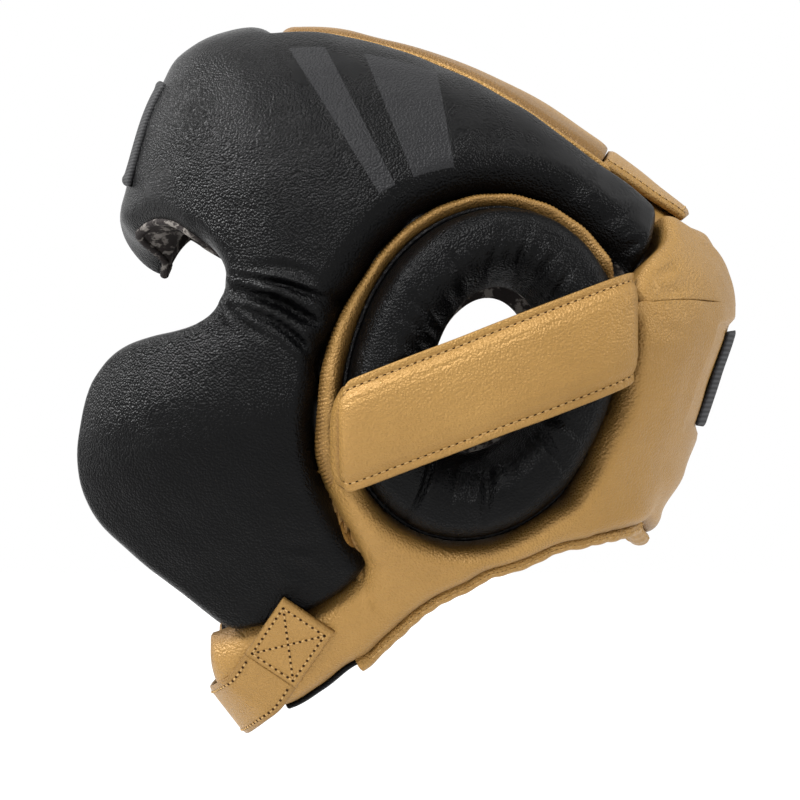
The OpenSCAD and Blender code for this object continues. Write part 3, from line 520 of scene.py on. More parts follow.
def tube_faces(k):
    """Faces of a closed tube whose rings of point numbers are the rows of k, its two ends last."""
    after = np.roll(k, -1, 1)
    quads = np.stack([k[:-1], after[:-1], after[1:], k[1:]], -1).reshape(-1, 4)
    return quads, quads.tolist() + [k[0, ::-1].tolist(), k[-1].tolist()]


def tube_piece(name, centre, side, up, finishes, turns=14):
    """Closed tube along the points centre. Each ring is the sum of a cosine along side and a sine
    along up, which carry its two radii."""
    t = np.linspace(0, 2 * np.pi, turns + 1)[:-1]
    rings = centre[:, None] + np.cos(t)[:, None] * side[:, None] + np.sin(t)[:, None] * up[:, None]
    quads, faces = tube_faces(np.arange(rings.shape[0] * turns).reshape(-1, turns))
    p = rings.reshape(-1, 3)
    face = np.cross(p[quads[:, 2]] - p[quads[:, 0]], p[quads[:, 3]] - p[quads[:, 1]])
    outward = np.sum(face * (p[quads[:, 0]] - np.repeat(centre, turns, 0)[quads[:, 0]])) > 0
    return mesh_piece(name, p, faces if outward else [f[::-1] for f in faces], finishes)


def frame_along(centre, outward):
    """Unit vectors at points of a path: outward made square to the path, and the one square to both."""
    ahead = np.gradient(centre, axis=0)
    ahead /= np.linalg.norm(ahead, axis=1)[:, None]
    out = outward - np.sum(outward * ahead, 1)[:, None] * ahead
    out /= np.linalg.norm(out, axis=1)[:, None]
    return out, np.cross(ahead, out)


centre = inset(face_edge, PAD_DEPTH * (1 - brow_kept(face_edge)[1]) + 0.2)
out, beside = frame_along(centre, inset(face_edge, np.zeros(len(face_edge))) - centre)
ribs_rim = 1 + 0.1 * np.sin(np.arange(len(centre)) * 1.9)[:, None]
face_rim = tube_piece("face_opening_rim", centre, out * 1.7 * ribs_rim, beside * 1.5, [dark_lining])
mark(face_rim, "edge", np.full(len(face_rim.data.vertices), 4.0))
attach(face_rim, "headguard")

# Ear pads. Each is a padded ring of black leather, cut as a band and gathered into small pleats
# round its hole. It is sewn in between the welt and the gold neck panel and stands 2 mm proud.
SIDES = (("left", 1), ("right", -1))
EAR_DEPTH = PAD_DEPTH + 2.0


def ear_hole(a):
    """Radius of the ear hole: an ellipse of 80 by 46 mm that leans by 73 degrees."""
    t = np.radians(np.asarray(a, float) - 73)
    return 40 * 23 / np.hypot(23 * np.cos(t), 40 * np.sin(t))


def ring_piece(name, rows, finishes, which):
    """Closed ring from loops of points: each row joins the next and the last joins the first."""
    n, m = rows.shape[:2]
    k = np.arange(n * m).reshape(n, m)
    quads = np.stack([k, np.roll(k, -1, 1), np.roll(np.roll(k, -1, 1), -1, 0), np.roll(k, -1, 0)], -1)
    return mesh_piece(name, rows.reshape(-1, 3), quads.reshape(-1, 4), finishes, np.repeat(which, m))


turns, bands = 480, 48
ear_a = np.arange(turns) * 360 / turns
share = close_at_ends(bands, 0.85, 0.85)
a, s = np.meshgrid(ear_a, share, indexing="xy")
width = ear_rim(a) - ear_hole(a) - 2.4
q = from_ear(a, ear_hole(a) + s * width)
rng = np.random.default_rng(8)
PLEATS = 24
pleat_at = (np.arange(PLEATS) + rng.uniform(-0.32, 0.32, PLEATS)) * 360 / PLEATS
pleat_deep, pleat_long = rng.uniform(1.2, 3.0, PLEATS), rng.uniform(7, 20, PLEATS)
pleat_wide = rng.uniform(2.0, 3.8, PLEATS)
pleats = np.zeros_like(a)
for k in range(PLEATS):
    off = ((a - pleat_at[k] + 180) % 360 - 180 + (s * width) * 0.3 * rng.uniform(-1, 1)) \
        * np.radians(1) * (ear_hole(a) + s * width) / pleat_wide[k] * 1.6
    reach_in = np.exp(-(s * width / pleat_long[k]) ** 2)
    pleats += pleat_deep[k] * reach_in * (np.exp(-off ** 2) - 0.4 * np.exp(-((np.abs(off) - 1.9) / 0.9) ** 2))
seam = np.exp(-(((a - 241 + 180) % 360 - 180) * np.radians(1) * (ear_hole(a) + s * width) / 1.1) ** 2) * 1.3
round_ear = rolled(s * width, 15) * rolled((1 - s) * width, 13, 0.15)
crowned = round_ear * (1 - 0.07 * (2 * s - 1) ** 2)
spots = seen(q)
spots_soft = waves(surface(spots).reshape(-1, 3), 26, 5).reshape(a.shape) * 0.35
top = PAD_DEPTH - EAR_DEPTH * crowned + (pleats + seam - spots_soft) * round_ear
under = inset(spots, np.full(a.shape, PAD_DEPTH + LINING_DEPTH))
over = inset(spots, top)
for side, sign in SIDES:
    rows = np.concatenate([over, under[::-1]]) * [sign, 1, 1]
    rows = rows if sign > 0 else rows[:, ::-1]
    which = np.repeat([0, 1], [bands + 1, bands + 1])
    which[bands] = 0
    ear_pad = ring_piece(f"ear_pad_{side}", rows, [black_leather, dark_lining], which)
    mark(ear_pad, "edge", np.full(rows.shape[0] * rows.shape[1], 20.0))
    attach(ear_pad, "headguard")
    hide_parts(*(f"ear_pad_{layer}_{side}" for layer in ("cover", "foam", "lining")))

# Black piping is sewn in along the outer edge of each ear pad
around = np.arange(0, 361, 1.0)
spots = seen(from_ear(around, ear_rim(around) - 2.6))
centre = inset(spots, np.full(361, 12.5))
out, beside = frame_along(centre, inset(spots, np.full(361, 11.5)) - centre)
for side, sign in SIDES:
    piping = tube_piece(f"ear_pad_piping_{side}", centre * [sign, 1, 1], out * 1.6 * [sign, 1, 1],
                        beside * 1.2 * [sign, 1, 1], [black_leather])
    mark(piping, "edge", np.full(len(piping.data.vertices), 4.0))
    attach(piping, "headguard")

# Gold leather of the back. A neck panel on each side runs from the jaw under the ear to the back,
# where it turns into a flap that folds out, so that the guard opens. The yoke over the nape joins
# the two sides. All are satin gold leather over thinner foam, with the dark lining inside.
GOLD_DEEP, GOLD_PALE = dyed(0.555, 0.41, 0.195), dyed(0.70, 0.545, 0.30)
at, join = finish("gold_leather", Specular_IOR_Level=0.35, Metallic=0.25)
cloudy = at.noise(14, 3.0)
creased = at.noise(95, 4.0, 0.6)
# Painted shade: the gold is mixed towards dark brown where a piece's edge number is under 5, and more where
# it is below 0, for the shade at rolled edges, seams, grooves and laps
brim = at.add("ShaderNodeAttribute", {"attribute_name": "edge"}, out=2)
painted_edge_shade = 1 - brim.step(0.0, 5.0) + 0.7 * (1 - brim.step(-4.0, 0.0))
patchy = cloudy * 0.75 + creased * 0.25
gold_leather = join(
    Base_Color=(painted_edge_shade * 0.5).dye(patchy.dye(GOLD_DEEP, GOLD_PALE), dyed(0.36, 0.25, 0.12)),
    Roughness=0.38 + 0.14 * cloudy,
    Normal=grained(at, 0.0010, 0.75, creased.bump(0.16, 0.0010)))

REAR_DEPTH = 15.0
NECK_CUT = 60.0
YOKE_Z = 9.0


def through(points, s):
    """Smooth line through points, at places s counted in points."""
    p, i = np.asarray(points, float), np.clip(np.floor(s).astype(int), 0, len(points) - 2)
    return bend(p[np.maximum(i - 1, 0)], p[i], p[i + 1], p[np.minimum(i + 2, len(p) - 1)], (s - i)[..., None])


yoke_line = np.concatenate([[crown_edge(CROWN_REAR)],
                            seen([[96, 37], side_tip, [83, 21], [80, 15], [83, YOKE_Z]])])
yoke_middle = np.stack([seen([[121, 30], [126, 20], [128, YOKE_Z]])[:, 0], np.zeros(3)], -1)
yoke_grid = across(yoke_line, yoke_middle, close_at_ends(36, 0.8, 0.8), close_at_ends(130, 0.5, 0.5))

# Upper edge: under the yoke, round the ear pad, up to the end of the welt and down beside the cheek.
# Each point has its partner on the hem, chosen so that no row leaves the panel at the cheek's corner.
round_ear_low = np.array([14, -12, -38, -64, -90, -104, -118, -132, -146])
neck_top_line = seen(np.concatenate([
    [[126.6, YOKE_Z - 0.2], [116, YOKE_Z - 0.2], [102, YOKE_Z - 0.2], [90, YOKE_Z - 0.2], [81, YOKE_Z - 0.6]],
    from_ear(round_ear_low, ear_rim(round_ear_low) - 1.2), welt_edge([212, 222, 231]),
    [[-28.3, -97], [-28.6, -101.5], [-32.5, -106.5], [-39.5, -112.5], [-50, -118], [-70, -122.5],
     [-94, -132]]]), NECK_CUT)
hem_line = seen([
    [97, -80.5], [94.5, -80.6], [91, -80.9], [87.5, -81.4], [83.5, -82.2], [80, -82.9], [74, -84.1],
    [65, -86.6], [50, -90.1], [26, -99.2], [14, -105.2], [4, -109.8], [-3, -114.2], [-7.5, -117.5],
    [-10.5, -120.1], [-12.5, -121.9], [-15, -124.2], [-17.5, -126.5], [-20.5, -129.2], [-26, -134.6],
    [-35, -139.8], [-46, -148.5], [-64, -157.5], [-90, -152]], NECK_CUT)
low_row = yoke_grid[-1, :66][::-1]
neck_top_line[:4, 0] = np.interp(-neck_top_line[:4, 1], -low_row[:, 1], low_row[:, 0]) + 360 - 0.05
flap_end = off_middle(1.5)
neck_top_line[0, 1] = hem_line[0, 1] = flap_end
s_table = np.linspace(0, 23, 2301)
middle_run = surface((through(neck_top_line, s_table) + through(hem_line, s_table)) / 2)
middle_run = np.concatenate([[0], np.cumsum(np.linalg.norm(np.diff(middle_run, axis=0), axis=1) + 0.03)])
s_rows = np.interp(np.linspace(0, middle_run[-1], 271), middle_run, s_table)
v_rows = close_at_ends(60, 0.85, 0.85)[None, :, None]
hem_rows, top_rows = through(hem_line, s_rows)[:, None], through(neck_top_line, s_rows)[:, None]
rear_grid = hem_rows * (1 - v_rows) + top_rows * v_rows
rear_spots, rear_quads = skin(rear_grid)
at_outline = surface(rear_spots)
top_edge = surface(rear_grid[:, -1])
to_yoke = away(at_outline, top_edge[s_rows <= 4])[0]
to_ear = away(at_outline, top_edge[(s_rows >= 4.6) & (s_rows <= 13.2)])[0]
to_cheek = away(at_outline, top_edge[s_rows >= 14.1])[0]
to_hem = away(at_outline, surface(rear_grid[:, 0]))[0]
to_ends = np.minimum(*(away(at_outline, surface(rear_grid[k]))[0] for k in (0, -1)))
height = (rolled(to_yoke, 1.5, 0.97) * rolled(to_ear, 6, 0.5) * rolled(to_cheek, 12, 0.2)
          * rolled(to_hem, 8, 0.42) * rolled(to_ends, 7 + 9 * (rear_spots[:, 0] > 180), 0.25))
side_view = at_outline[:, 1:]
turn, far = rear_spots[:, 0], np.linalg.norm(side_view - EAR, axis=1)
sunk = 8.0 * ease((236 - turn) / 26) * ease((turn - 150) / 20) * ease((ear_rim(turn) + 34 - far) / 12)


def drawn_in(points):
    """Depth by which the lower corner at the back is drawn in, in two smooth steps, back and down."""
    return 6.5 * ease((points[:, 1] - 84) / 18) * ease((-60 - points[:, 2]) / 18)


REAR_DENT = 2.4
turn_up = (turn + 180) % 360 - 180
pressed = REAR_DENT * ease((14.5 - np.abs(turn_up + 1.5)) / 2.5) * ease((54 - np.abs(at_outline[:, 0])) / 7) \
    * (at_outline[:, 1] > 60)
folds = creases(side_view, (
    ([[84, -10], [93, -12], [104, -9]], 3.0, 0.6),
    ([[-30, -104], [-24, -110], [-16, -116]], 2.2, 0.8),
    ([[-33, -90], [-24, -96], [-14, -100]], 2.4, 0.6),
    ([[-38, -76], [-33, -84], [-28, -92]], 2.0, 0.7),
    ([[20, -94], [32, -90], [46, -82]], 3.0, 0.5),
    ([[86, 2], [95, -2], [108, -3]], 2.6, 0.5)))
uneven = waves(at_outline, 48, 13) * 0.45 + waves(at_outline, 17, 14) * 0.16
# Distance in from the free edges: it fades the folds and, through pad, paints shade on the gold near the hem,
# ear pad, cheek and ends
to_free = np.min([to_yoke + 5, to_ear + 1, to_cheek + 1, to_hem, to_ends], axis=0)
depth = (REAR_DEPTH * (1 - height) + (folds - uneven) * np.clip(to_free / 5, 0, 1)
         + sunk + pressed + drawn_in(at_outline))
rear_under = REAR_DEPTH + LINING_DEPTH + drawn_in(at_outline)
for side in ("left", "right"):
    spots = rear_spots if side == "left" else mirrored(rear_spots)
    quads = rear_quads if side == "left" else rear_quads[:, ::-1]
    rear_leather = pad(f"rear_leather_{side}", spots, quads, depth, rear_under,
                       gold_leather, dark_lining, to_free)
    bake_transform(rear_leather)
    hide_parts(*(f"{part}_{layer}_{side}" for part in ("neck", "flap")
                                for layer in ("cover", "foam", "lining")))

yoke_spots, yoke_quads = skin(yoke_grid)
at_outline = surface(yoke_spots)
to_top = away(at_outline, surface(yoke_grid[0]))[0]
to_low = away(at_outline, surface(yoke_grid[-1]))[0]
to_side = np.minimum(*(away(at_outline, surface(yoke_grid[:, k]))[0] for k in (0, -1)))
height = rolled(to_top, 7, 0.85) * rolled(to_low, 1.5, 0.97) * rolled(to_side, 6, 0.75)
side_view = at_outline[:, 1:]
folds = creases(side_view, (
    ([[84, 22], [92, 21], [101, 25]], 2.2, 1.0),
    ([[86, 16], [95, 14], [106, 17]], 2.4, 0.8)))
uneven = waves(at_outline, 48, 13) * 0.4 + waves(at_outline, 17, 14) * 0.12
# Distance in from the yoke's edges: it fades the folds and, through pad, paints shade on the gold near the
# top, bottom and sides
edge = np.minimum(np.minimum(to_top + 2, to_low + 5), to_side + 2)
depth = REAR_DEPTH * (1 - height) + (folds - uneven) * np.clip(edge / 7, 0, 1)
yoke = pad("yoke", yoke_spots, yoke_quads, depth, REAR_DEPTH + LINING_DEPTH, gold_leather, dark_lining, edge)
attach(yoke, "headguard")
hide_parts("yoke_cover", "yoke_foam", "yoke_lining")

# Ear welts. A roll of gold leather is sewn in round each ear pad. Its outer side is drawn in by
# the stitches into small scallops, and it widens under the ear into the gold neck panel.
def slab_piece(name, outer, inner, finishes):
    """Closed sheet between two grids of points that share their rows and columns."""
    n, m = outer.shape[:2]
    k = np.arange(n * m).reshape(n, m)
    quads = grid_quads(k)
    loop = np.concatenate([k[:-1, 0], k[-1, :-1], k[:0:-1, -1], k[0, :0:-1]])
    wall = np.stack([np.roll(loop, -1), loop, loop + n * m, np.roll(loop, -1) + n * m], -1)
    faces = np.concatenate([quads, wall, quads[:, ::-1] + n * m])
    p = np.concatenate([outer.reshape(-1, 3), inner.reshape(-1, 3)])
    face = np.cross(p[quads[:, 2]] - p[quads[:, 0]], p[quads[:, 3]] - p[quads[:, 1]])
    if np.sum(face * (outer - inner).reshape(-1, 3)[quads[:, 0]]) < 0:
        faces = faces[:, ::-1]
    return mesh_piece(name, p, faces, finishes)


def flipped(points):
    return points * [-1, 1, 1]


welt_a = np.linspace(36, 227, 800)
across_welt = np.linspace(0, 1, 17)
a, s = np.meshgrid(welt_a, across_welt, indexing="ij")
spots = seen(from_ear(a, ear_rim(a) - 1.6 + (welt_width(a) + 1.3) * s))
run = np.cumsum(np.concatenate([[0], np.linalg.norm(np.diff(surface(spots[:, 8]), axis=0), axis=1)]))[:, None]
scallop = (1 - np.abs(np.sin(np.pi * run / 1.7))) * ease((s - 0.5) / 0.35) * 1.1
round_welt = 0.2 + 0.8 * np.clip(1 - np.abs(2 * s - 1) ** (2.2 + 2.5 * ease((a - 165) / 30)), 0, 1) ** 0.5
tucked = 8.0 * ease((a - 214) / 13) + 4.0 * ease((44 - a) / 8)
swelled = (13 + 3 * ease((a - 150) / 30)) * round_welt
outer = inset(spots, PAD_DEPTH - swelled + scallop + 0.25 * np.sin(run / 2.7 + 2 * s) + tucked)
inner = inset(spots, np.full(a.shape, PAD_DEPTH - 0.2))
for side in ("left", "right"):
    turned = (lambda p: p) if side == "left" else flipped
    ear_welt = slab_piece(f"ear_welt_{side}_roll", turned(outer), turned(inner), [gold_leather])
    # Painted shade on the welt, which lies sunk between the pads: darker all over and darkest along both its
    # sides
    mark(ear_welt, "edge", np.tile(np.minimum(s, 1 - s).ravel() * 9 - 1.5, 2))
    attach(ear_welt, "headguard")
    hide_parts(f"ear_welt_{side}")

# Ear straps. A padded strap of gold leather crosses each ear pad and is sewn down at both ends.
# Two rows of stitches in dark holes run along it, and the padding is pressed in beside them.
at, join = finish("gold_thread", Specular_IOR_Level=0.3)
gold_thread = join(Base_Color=at.noise(900).dye(dyed(0.62, 0.47, 0.25), dyed(0.80, 0.66, 0.44)),
                   Roughness=0.55 + 0.2 * at.noise(500), Normal=at.noise(2600).bump(0.5, 0.0002))
at, join = finish("needle_hole", Specular_IOR_Level=0.1)
needle_hole = join(Base_Color=at.noise(700).dye(dyed(0.13, 0.07, 0.03), dyed(0.27, 0.17, 0.08)),
                   Roughness=0.8 + 0.1 * at.noise(300), Normal=at.noise(1500).bump(0.3, 0.0002))


def sewn(name, face, u, v, pitch=3.2, long=2.1, wide=0.75, hole=0.62):
    """Stitches along the shares (u, v) of face: short rounded threads, and a dark hole between two."""
    step = 1e-3
    p = face(u, v)
    run = np.concatenate([[0], np.cumsum(np.linalg.norm(np.diff(p, axis=0), axis=1))])
    count = max(2, int(run[-1] / pitch))
    at_share = (np.arange(count) + 0.5) / count * run[-1]
    su, sv = np.interp(at_share, run, u), np.interp(at_share, run, v)
    hu, hv = (np.interp(np.append(at_share - pitch / 2, at_share[-1] + pitch / 2), run, w) for w in (u, v))

    def stand(u, v):
        c = face(u, v)
        du, dv = face(u + step, v) - face(u - step, v), face(u, v + step) - face(u, v - step)
        n = np.cross(du, dv)
        n /= np.linalg.norm(n, axis=1)[:, None]
        n *= np.sign(np.sum(n * (c - [0, EAR[0], EAR[1]]) * [1, 0.6, 0.6], 1))[:, None]
        return c, n
    c, n = stand(su, sv)
    before, after = (np.stack([np.interp(at_share + far, run, p[:, k]) for k in range(3)], -1)
                     for far in (-0.5, 0.5))
    ahead = after - before
    ahead /= np.linalg.norm(ahead, axis=1)[:, None]
    beside = np.cross(n, ahead)
    body = np.array([[-1, 0, -0.6], [1, 0, -0.6]] + [[x, y, z] for x in (-0.6, 0.6)
                    for y, z in ((-1, -0.4), (-0.7, 0.7), (0.7, 0.7), (1, -0.4))])
    shell = [[0, 3, 2], [0, 4, 3], [0, 5, 4], [0, 2, 5], [1, 6, 7], [1, 7, 8], [1, 8, 9], [1, 9, 6],
             [2, 3, 7, 6], [3, 4, 8, 7], [4, 5, 9, 8], [5, 2, 6, 9]]
    threads = (c[:, None] + body[:, 0, None] * ahead[:, None] * long / 2
               + body[:, 1, None] * beside[:, None] * wide / 2
               + body[:, 2, None] * n[:, None] * 0.32 + n[:, None] * 0.12)
    faces = [[i + 10 * k for i in f] for k in range(count) for f in shell]
    c, n = stand(hu, hv)
    first = np.cross(n, [0.3, 0.5, 0.8])
    first /= np.linalg.norm(first, axis=1)[:, None]
    second = np.cross(n, first)
    t = np.arange(6) * np.pi / 3
    holes = (c[:, None] + hole * (np.cos(t)[:, None] * first[:, None] + np.sin(t)[:, None] * second[:, None])
             + n[:, None] * 0.06)
    start = 10 * count
    faces += [[start + 6 * k + i for i in range(6)] for k in range(len(hu))]
    which = [0] * (12 * count) + [1] * len(hu)
    return mesh_piece(name, np.concatenate([threads.reshape(-1, 3), holes.reshape(-1, 3)]), faces,
                      [gold_thread, needle_hole], which, smooth=False)


STRAP_LONG, STRAP_WIDE, STRAP_TILT, STRAP_DROP = 124.0, 41.0, 21.0, 3.8


def strap_face(u, v, under=False):
    """Face of the ear strap at shares u along it and v across it. Its ends are upright and dip to the
    welt. The margins are thin, the middle is crowned, and a pressed line runs inside each margin."""
    u, v = np.asarray(u, float), np.asarray(v, float)
    t = np.radians(STRAP_TILT)
    along_it, across_it = (u - 0.5) * STRAP_LONG, (v - 0.5) * STRAP_WIDE
    round_end = 3.2 * ease((0.05 - u) / 0.05) ** 2 * np.sign(v - 0.5) * ease((np.abs(v - 0.5) - 0.3) / 0.2)
    q = EAR + np.stack([along_it * np.cos(t),
                        along_it * np.sin(t) + across_it / np.cos(t) - STRAP_DROP - round_end], -1)
    spots = seen(q)
    margin = np.minimum(v, 1 - v) * STRAP_WIDE
    thick = 2.6 + 2.1 * ease((margin - 3.4) / 5) - 0.5 * np.exp(-((margin - 3.3) / 0.8) ** 2) \
        - 0.45 * np.exp(-((margin - 8.2) / 0.9) ** 2) - 1.2 * ease((0.5 - margin) / 0.5)
    end = np.minimum(u, 1 - u) * STRAP_LONG
    flat = np.stack([u * STRAP_LONG, v * STRAP_WIDE, u * 0], -1).reshape(-1, 3)
    thick = thick - 0.9 * ease((3 - end) / 3) + 0.25 * waves(flat, 30, 7).reshape(u.shape)
    dip = 4 * np.abs(2 * u - 1) ** 10
    return place(spots[..., 0], spots[..., 1], dip - 2.5 - (0 if under else thick))


def fold_face(u, v, under=False):
    """The strap's end, turned under: a thinner layer that shows 5 mm beyond the front end, bowed at
    its middle and drawn down to the welt."""
    beyond = 5.0 * (1 - (2 * v - 1) ** 4) * (1 - u)
    t = np.radians(STRAP_TILT)
    along_it = -STRAP_LONG / 2 + 12 * u - beyond
    q = EAR + np.stack([along_it * np.cos(t),
                        along_it * np.sin(t) + (v - 0.5) * 38.5 / np.cos(t) - STRAP_DROP], -1)
    thick = 0 if under else 1.9 * np.sqrt(np.clip(u * 5, 0.02, 1))
    return inset(seen(q), 2.2 - 2.0 * u + 1.6 * (1 - u) ** 3 - thick)


u, v = np.meshgrid(np.linspace(0, 1, 150), close_at_ends(60, 0.5, 0.5), indexing="ij")
row = np.linspace(0.012, 0.988, 400)
ROW_IN = 3.3 / STRAP_WIDE
for side in ("left", "right"):
    turned = (lambda p: p) if side == "left" else flipped
    ear_strap = slab_piece(f"ear_strap_{side}_leather", turned(strap_face(u, v)),
                           turned(strap_face(u, v, True)), [gold_leather])
    # Painted shade: the strap's thin margins come out a little darker
    mark(ear_strap, "edge", np.tile(np.minimum(v, 1 - v).ravel() * STRAP_WIDE + 3, 2))
    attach(ear_strap, "headguard")
    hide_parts(f"ear_strap_{side}")
    under_fold = slab_piece(f"ear_strap_fold_{side}", turned(fold_face(u, v)),
                            turned(fold_face(u, v, True)), [gold_leather])
    # Painted shadow: a dark line on the turned-under end where the strap's end lies over it, and darker sides
    brim = np.minimum(np.abs(u - 0.27) * 40, np.minimum(v, 1 - v) * STRAP_WIDE)
    mark(under_fold, "edge", np.tile(brim.ravel() * 0.9, 2))
    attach(under_fold, "headguard")
    for name, level in (("low", ROW_IN), ("high", 1 - ROW_IN)):
        stitches = sewn(f"ear_strap_stitches_{name}_{side}", lambda u, v: turned(strap_face(u, v)),
                        row, np.full(400, level))
        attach(stitches, "headguard")

# Hem bindings. A strip of gold leather is rolled round the lower edge of each neck panel and flap
# and stitched through. Its front end is folded back on itself.
hem_s = np.interp(np.linspace(0, 1, 460), np.linspace(0, 1, 271)[:-1], s_rows[:-1])
spots = through(hem_line, hem_s.clip(0.35, 19.7))
keep = np.concatenate([[True], np.linalg.norm(np.diff(spots, axis=0), axis=1) > 1e-6])
spots = spots[keep]
seam_line = inset(spots, 9.0 + drawn_in(surface(spots)))
out, down = frame_along(seam_line, inset(spots, 8.0 + drawn_in(surface(spots))) - seam_line)
down *= -np.sign(down[:, 2:3])
run = np.cumsum(np.concatenate([[0], np.linalg.norm(np.diff(seam_line, axis=0), axis=1)]))
end_swell = 1 + 0.45 * ease((run - run[-1] + 8) / 6) - 1.35 * ease((run - run[-1] + 1.4) / 1.4)
end_swell = end_swell * ease(run / 1.2 + 0.1)
ripple = 1 + 0.05 * np.sin(run / 1.35) + 0.035 * np.sin(run / 4.7)
centre = seam_line + 2.3 * down
stout = (end_swell * ripple)[:, None]


def binding_face(u, v):
    """Line on the binding's outer face at share u of its length; v moves it down."""
    i = np.asarray(u) * (len(centre) - 1)
    lane = centre + out * 3.95 * stout + down * 0.2
    pick = np.stack([np.interp(i, np.arange(len(centre)), lane[:, c]) for c in range(3)], -1)
    more = np.stack([np.interp(i, np.arange(len(centre)), down[:, c]) for c in range(3)], -1)
    return pick + more * np.asarray(v)[..., None]


def tapered(count, step, left):
    """Shares of a tube's width from end to end: 1 along it, and a smooth step down at both ends."""
    t = np.linspace(0, 1, count)
    return (ease(t / step + left) * ease((1 - t) / step + left))[:, None]


under_spots = through(hem_line, np.linspace(19.4, 21.9, 90))
under_centre = inset(under_spots, np.full(90, 10.0))
under_out, under_down = frame_along(under_centre, inset(under_spots, np.full(90, 9.0)) - under_centre)
under_down *= -np.sign(under_down[:, 2:3])
taper = tapered(90, 0.06, 0.2)
# Painted shade along the top of the binding's roll, in the groove where it meets the panel
shaded = 5.0 - 9.0 * ease(-np.sin(np.linspace(0, 2 * np.pi, 21)[:-1]) - 0.35)
for side, sign in SIDES:
    mirror = np.array([sign, 1, 1])
    hem_binding = tube_piece(f"hem_binding_{side}", centre * mirror, out * 4.1 * stout * mirror,
                             down * 3.1 * stout * mirror, [gold_leather], turns=20)
    mark(hem_binding, "edge", np.tile(shaded, len(centre)))
    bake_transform(hem_binding)
    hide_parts(f"neck_binding_{side}", f"flap_binding_{side}")
    row = np.linspace(0.008, 0.975, 500)
    stitches = sewn(f"hem_stitches_{side}", lambda u, v: binding_face(u, v) * mirror,
                    row, np.full(500, -0.3), pitch=3.6)
    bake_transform(stitches)
    under_edge = tube_piece(f"hem_under_edge_{side}", (under_centre + 0.8 * under_down) * mirror,
                            under_out * 5.5 * taper * mirror, under_down * 1.9 * taper * mirror,
                            [black_leather])
    mark(under_edge, "edge", np.full(len(under_edge.data.vertices), 4.0))
    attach(under_edge, "headguard")

# Crown. A thin gold pad lies on the top between the side pads. At the back a flap laps over a
# tongue that is sewn to the yoke, and hook and loop patches between them hold the size.
LAP_TURN = np.degrees(44 / reach(50.0))
CROWN_END = CROWN_REAR - 4
crown_break = CROWN_END + LAP_TURN
CROWN_DEPTH = 10.0
crown_ends = np.concatenate([crown_edge(np.arange(CROWN_FRONT, crown_break + 2, -13)),
                             [crown_edge(crown_break)]])
crown_grid = across(crown_ends, np.array([[CROWN_FRONT, 0], [crown_break, 0]]), close_at_ends(70, 0.7, 0.3),
                    close_at_ends(60, 0.85, 0.85))
crown_spots, crown_quads = skin(crown_grid)
at_outline = surface(crown_spots)
to_back = away(at_outline, surface(crown_grid[-1]))[0]
free_rows = (crown_grid[0], crown_grid[:, 0], crown_grid[:, -1])
to_free = np.min([away(at_outline, surface(row))[0] for row in free_rows], axis=0)
height = rolled(to_free, 9) * rolled(to_back, 6, 0.88)
depth = CROWN_DEPTH * (1 - height) - waves(at_outline, 40, 21) * 0.35 * np.clip(to_free / 5, 0, 1) \
    + 1.7 * ease((117 - crown_spots[:, 0]) / 12) + 2.2 * ease((crown_spots[:, 0] - 110) / 8)
# Painted shade: the crown pad's sides, seen edge-on, are darkened over a wide band, most at the free edges,
# and a little at the back
crown_pad = pad("crown_pad", crown_spots, crown_quads, depth, CROWN_DEPTH + LINING_DEPTH,
                gold_leather, dark_lining, np.minimum(to_free * 0.3 - 3.5, to_back))
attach(crown_pad, "headguard")
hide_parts("crown_cover", "crown_foam", "crown_lining")

# A thin gold roll is bound in between the crown pad and each side pad
roll_a = np.linspace(118, 58, 200)
spots = crown_edge(roll_a) - [[0, 0.9]]
centre = inset(spots, np.full(200, 3.2))
out, beside = frame_along(centre, inset(spots, np.full(200, 2.2)) - centre)
taper = tapered(200, 0.03, 0.15)
for side, sign in SIDES:
    edge_roll = tube_piece(f"crown_edge_roll_{side}", centre * [sign, 1, 1], out * 1.5 * taper * [sign, 1, 1],
                           beside * 1.3 * taper * [sign, 1, 1], [gold_leather])
    # Painted shade: the roll, lying in the groove between the pads, is a little darker all over
    mark(edge_roll, "edge", np.full(len(edge_roll.data.vertices), 4.0))
    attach(edge_roll, "headguard")


def strip(a0, a1, half0, half1, u, v, m1=None):
    """Angles on a strip over the mid-plane, from angle a0 to a1 round the ear axis, or to m1 at its
    middle. Its half width goes from half0 to half1."""
    u, v = np.asarray(u, float), np.asarray(v, float)
    w = 1 - 2 * v
    e = np.stack([a0 + (a1 - a0) * u, off_middle(half0) + (off_middle(half1) - off_middle(half0)) * u], -1)
    m = a0 + ((a1 if m1 is None else m1) - a0) * u
    return np.stack([m + (e[..., 0] - m) * w * w, 90 - w * (90 - e[..., 1])], -1)


def lapped(node, made_of, spots_at, depth, thick, finishes, body, soft=0.0):
    """A closed strip of leather or webbing with eased edges, and crowned by soft."""
    n, m = 40, 60
    u, v = np.meshgrid(np.linspace(0, 1, n), close_at_ends(m, 0.6, 0.6), indexing="ij")
    spots = spots_at(u, v)
    brim = np.minimum(np.minimum(u, 1 - u) * n / 3, np.minimum(v, 1 - v) * m / 3)
    eased = thick * 0.35 * (1 - np.clip(brim, 0, 1)) ** 2
    outer = depth(u, v) + eased - soft * np.sin(np.pi * v) * np.sin(np.pi * u)
    piece = slab_piece(f"{node}_{made_of}", place(spots[..., 0], spots[..., 1], outer),
                       place(spots[..., 0], spots[..., 1], depth(u, v) + thick), finishes)
    # Painted shade: on gold leather, a thin border along all four sides comes out darker
    mark(piece, "edge", np.tile(np.minimum(np.minimum(u, 1 - u), np.minimum(v, 1 - v)).ravel() * 60 + 2, 2))
    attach(piece, body)
    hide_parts(node)
    return piece


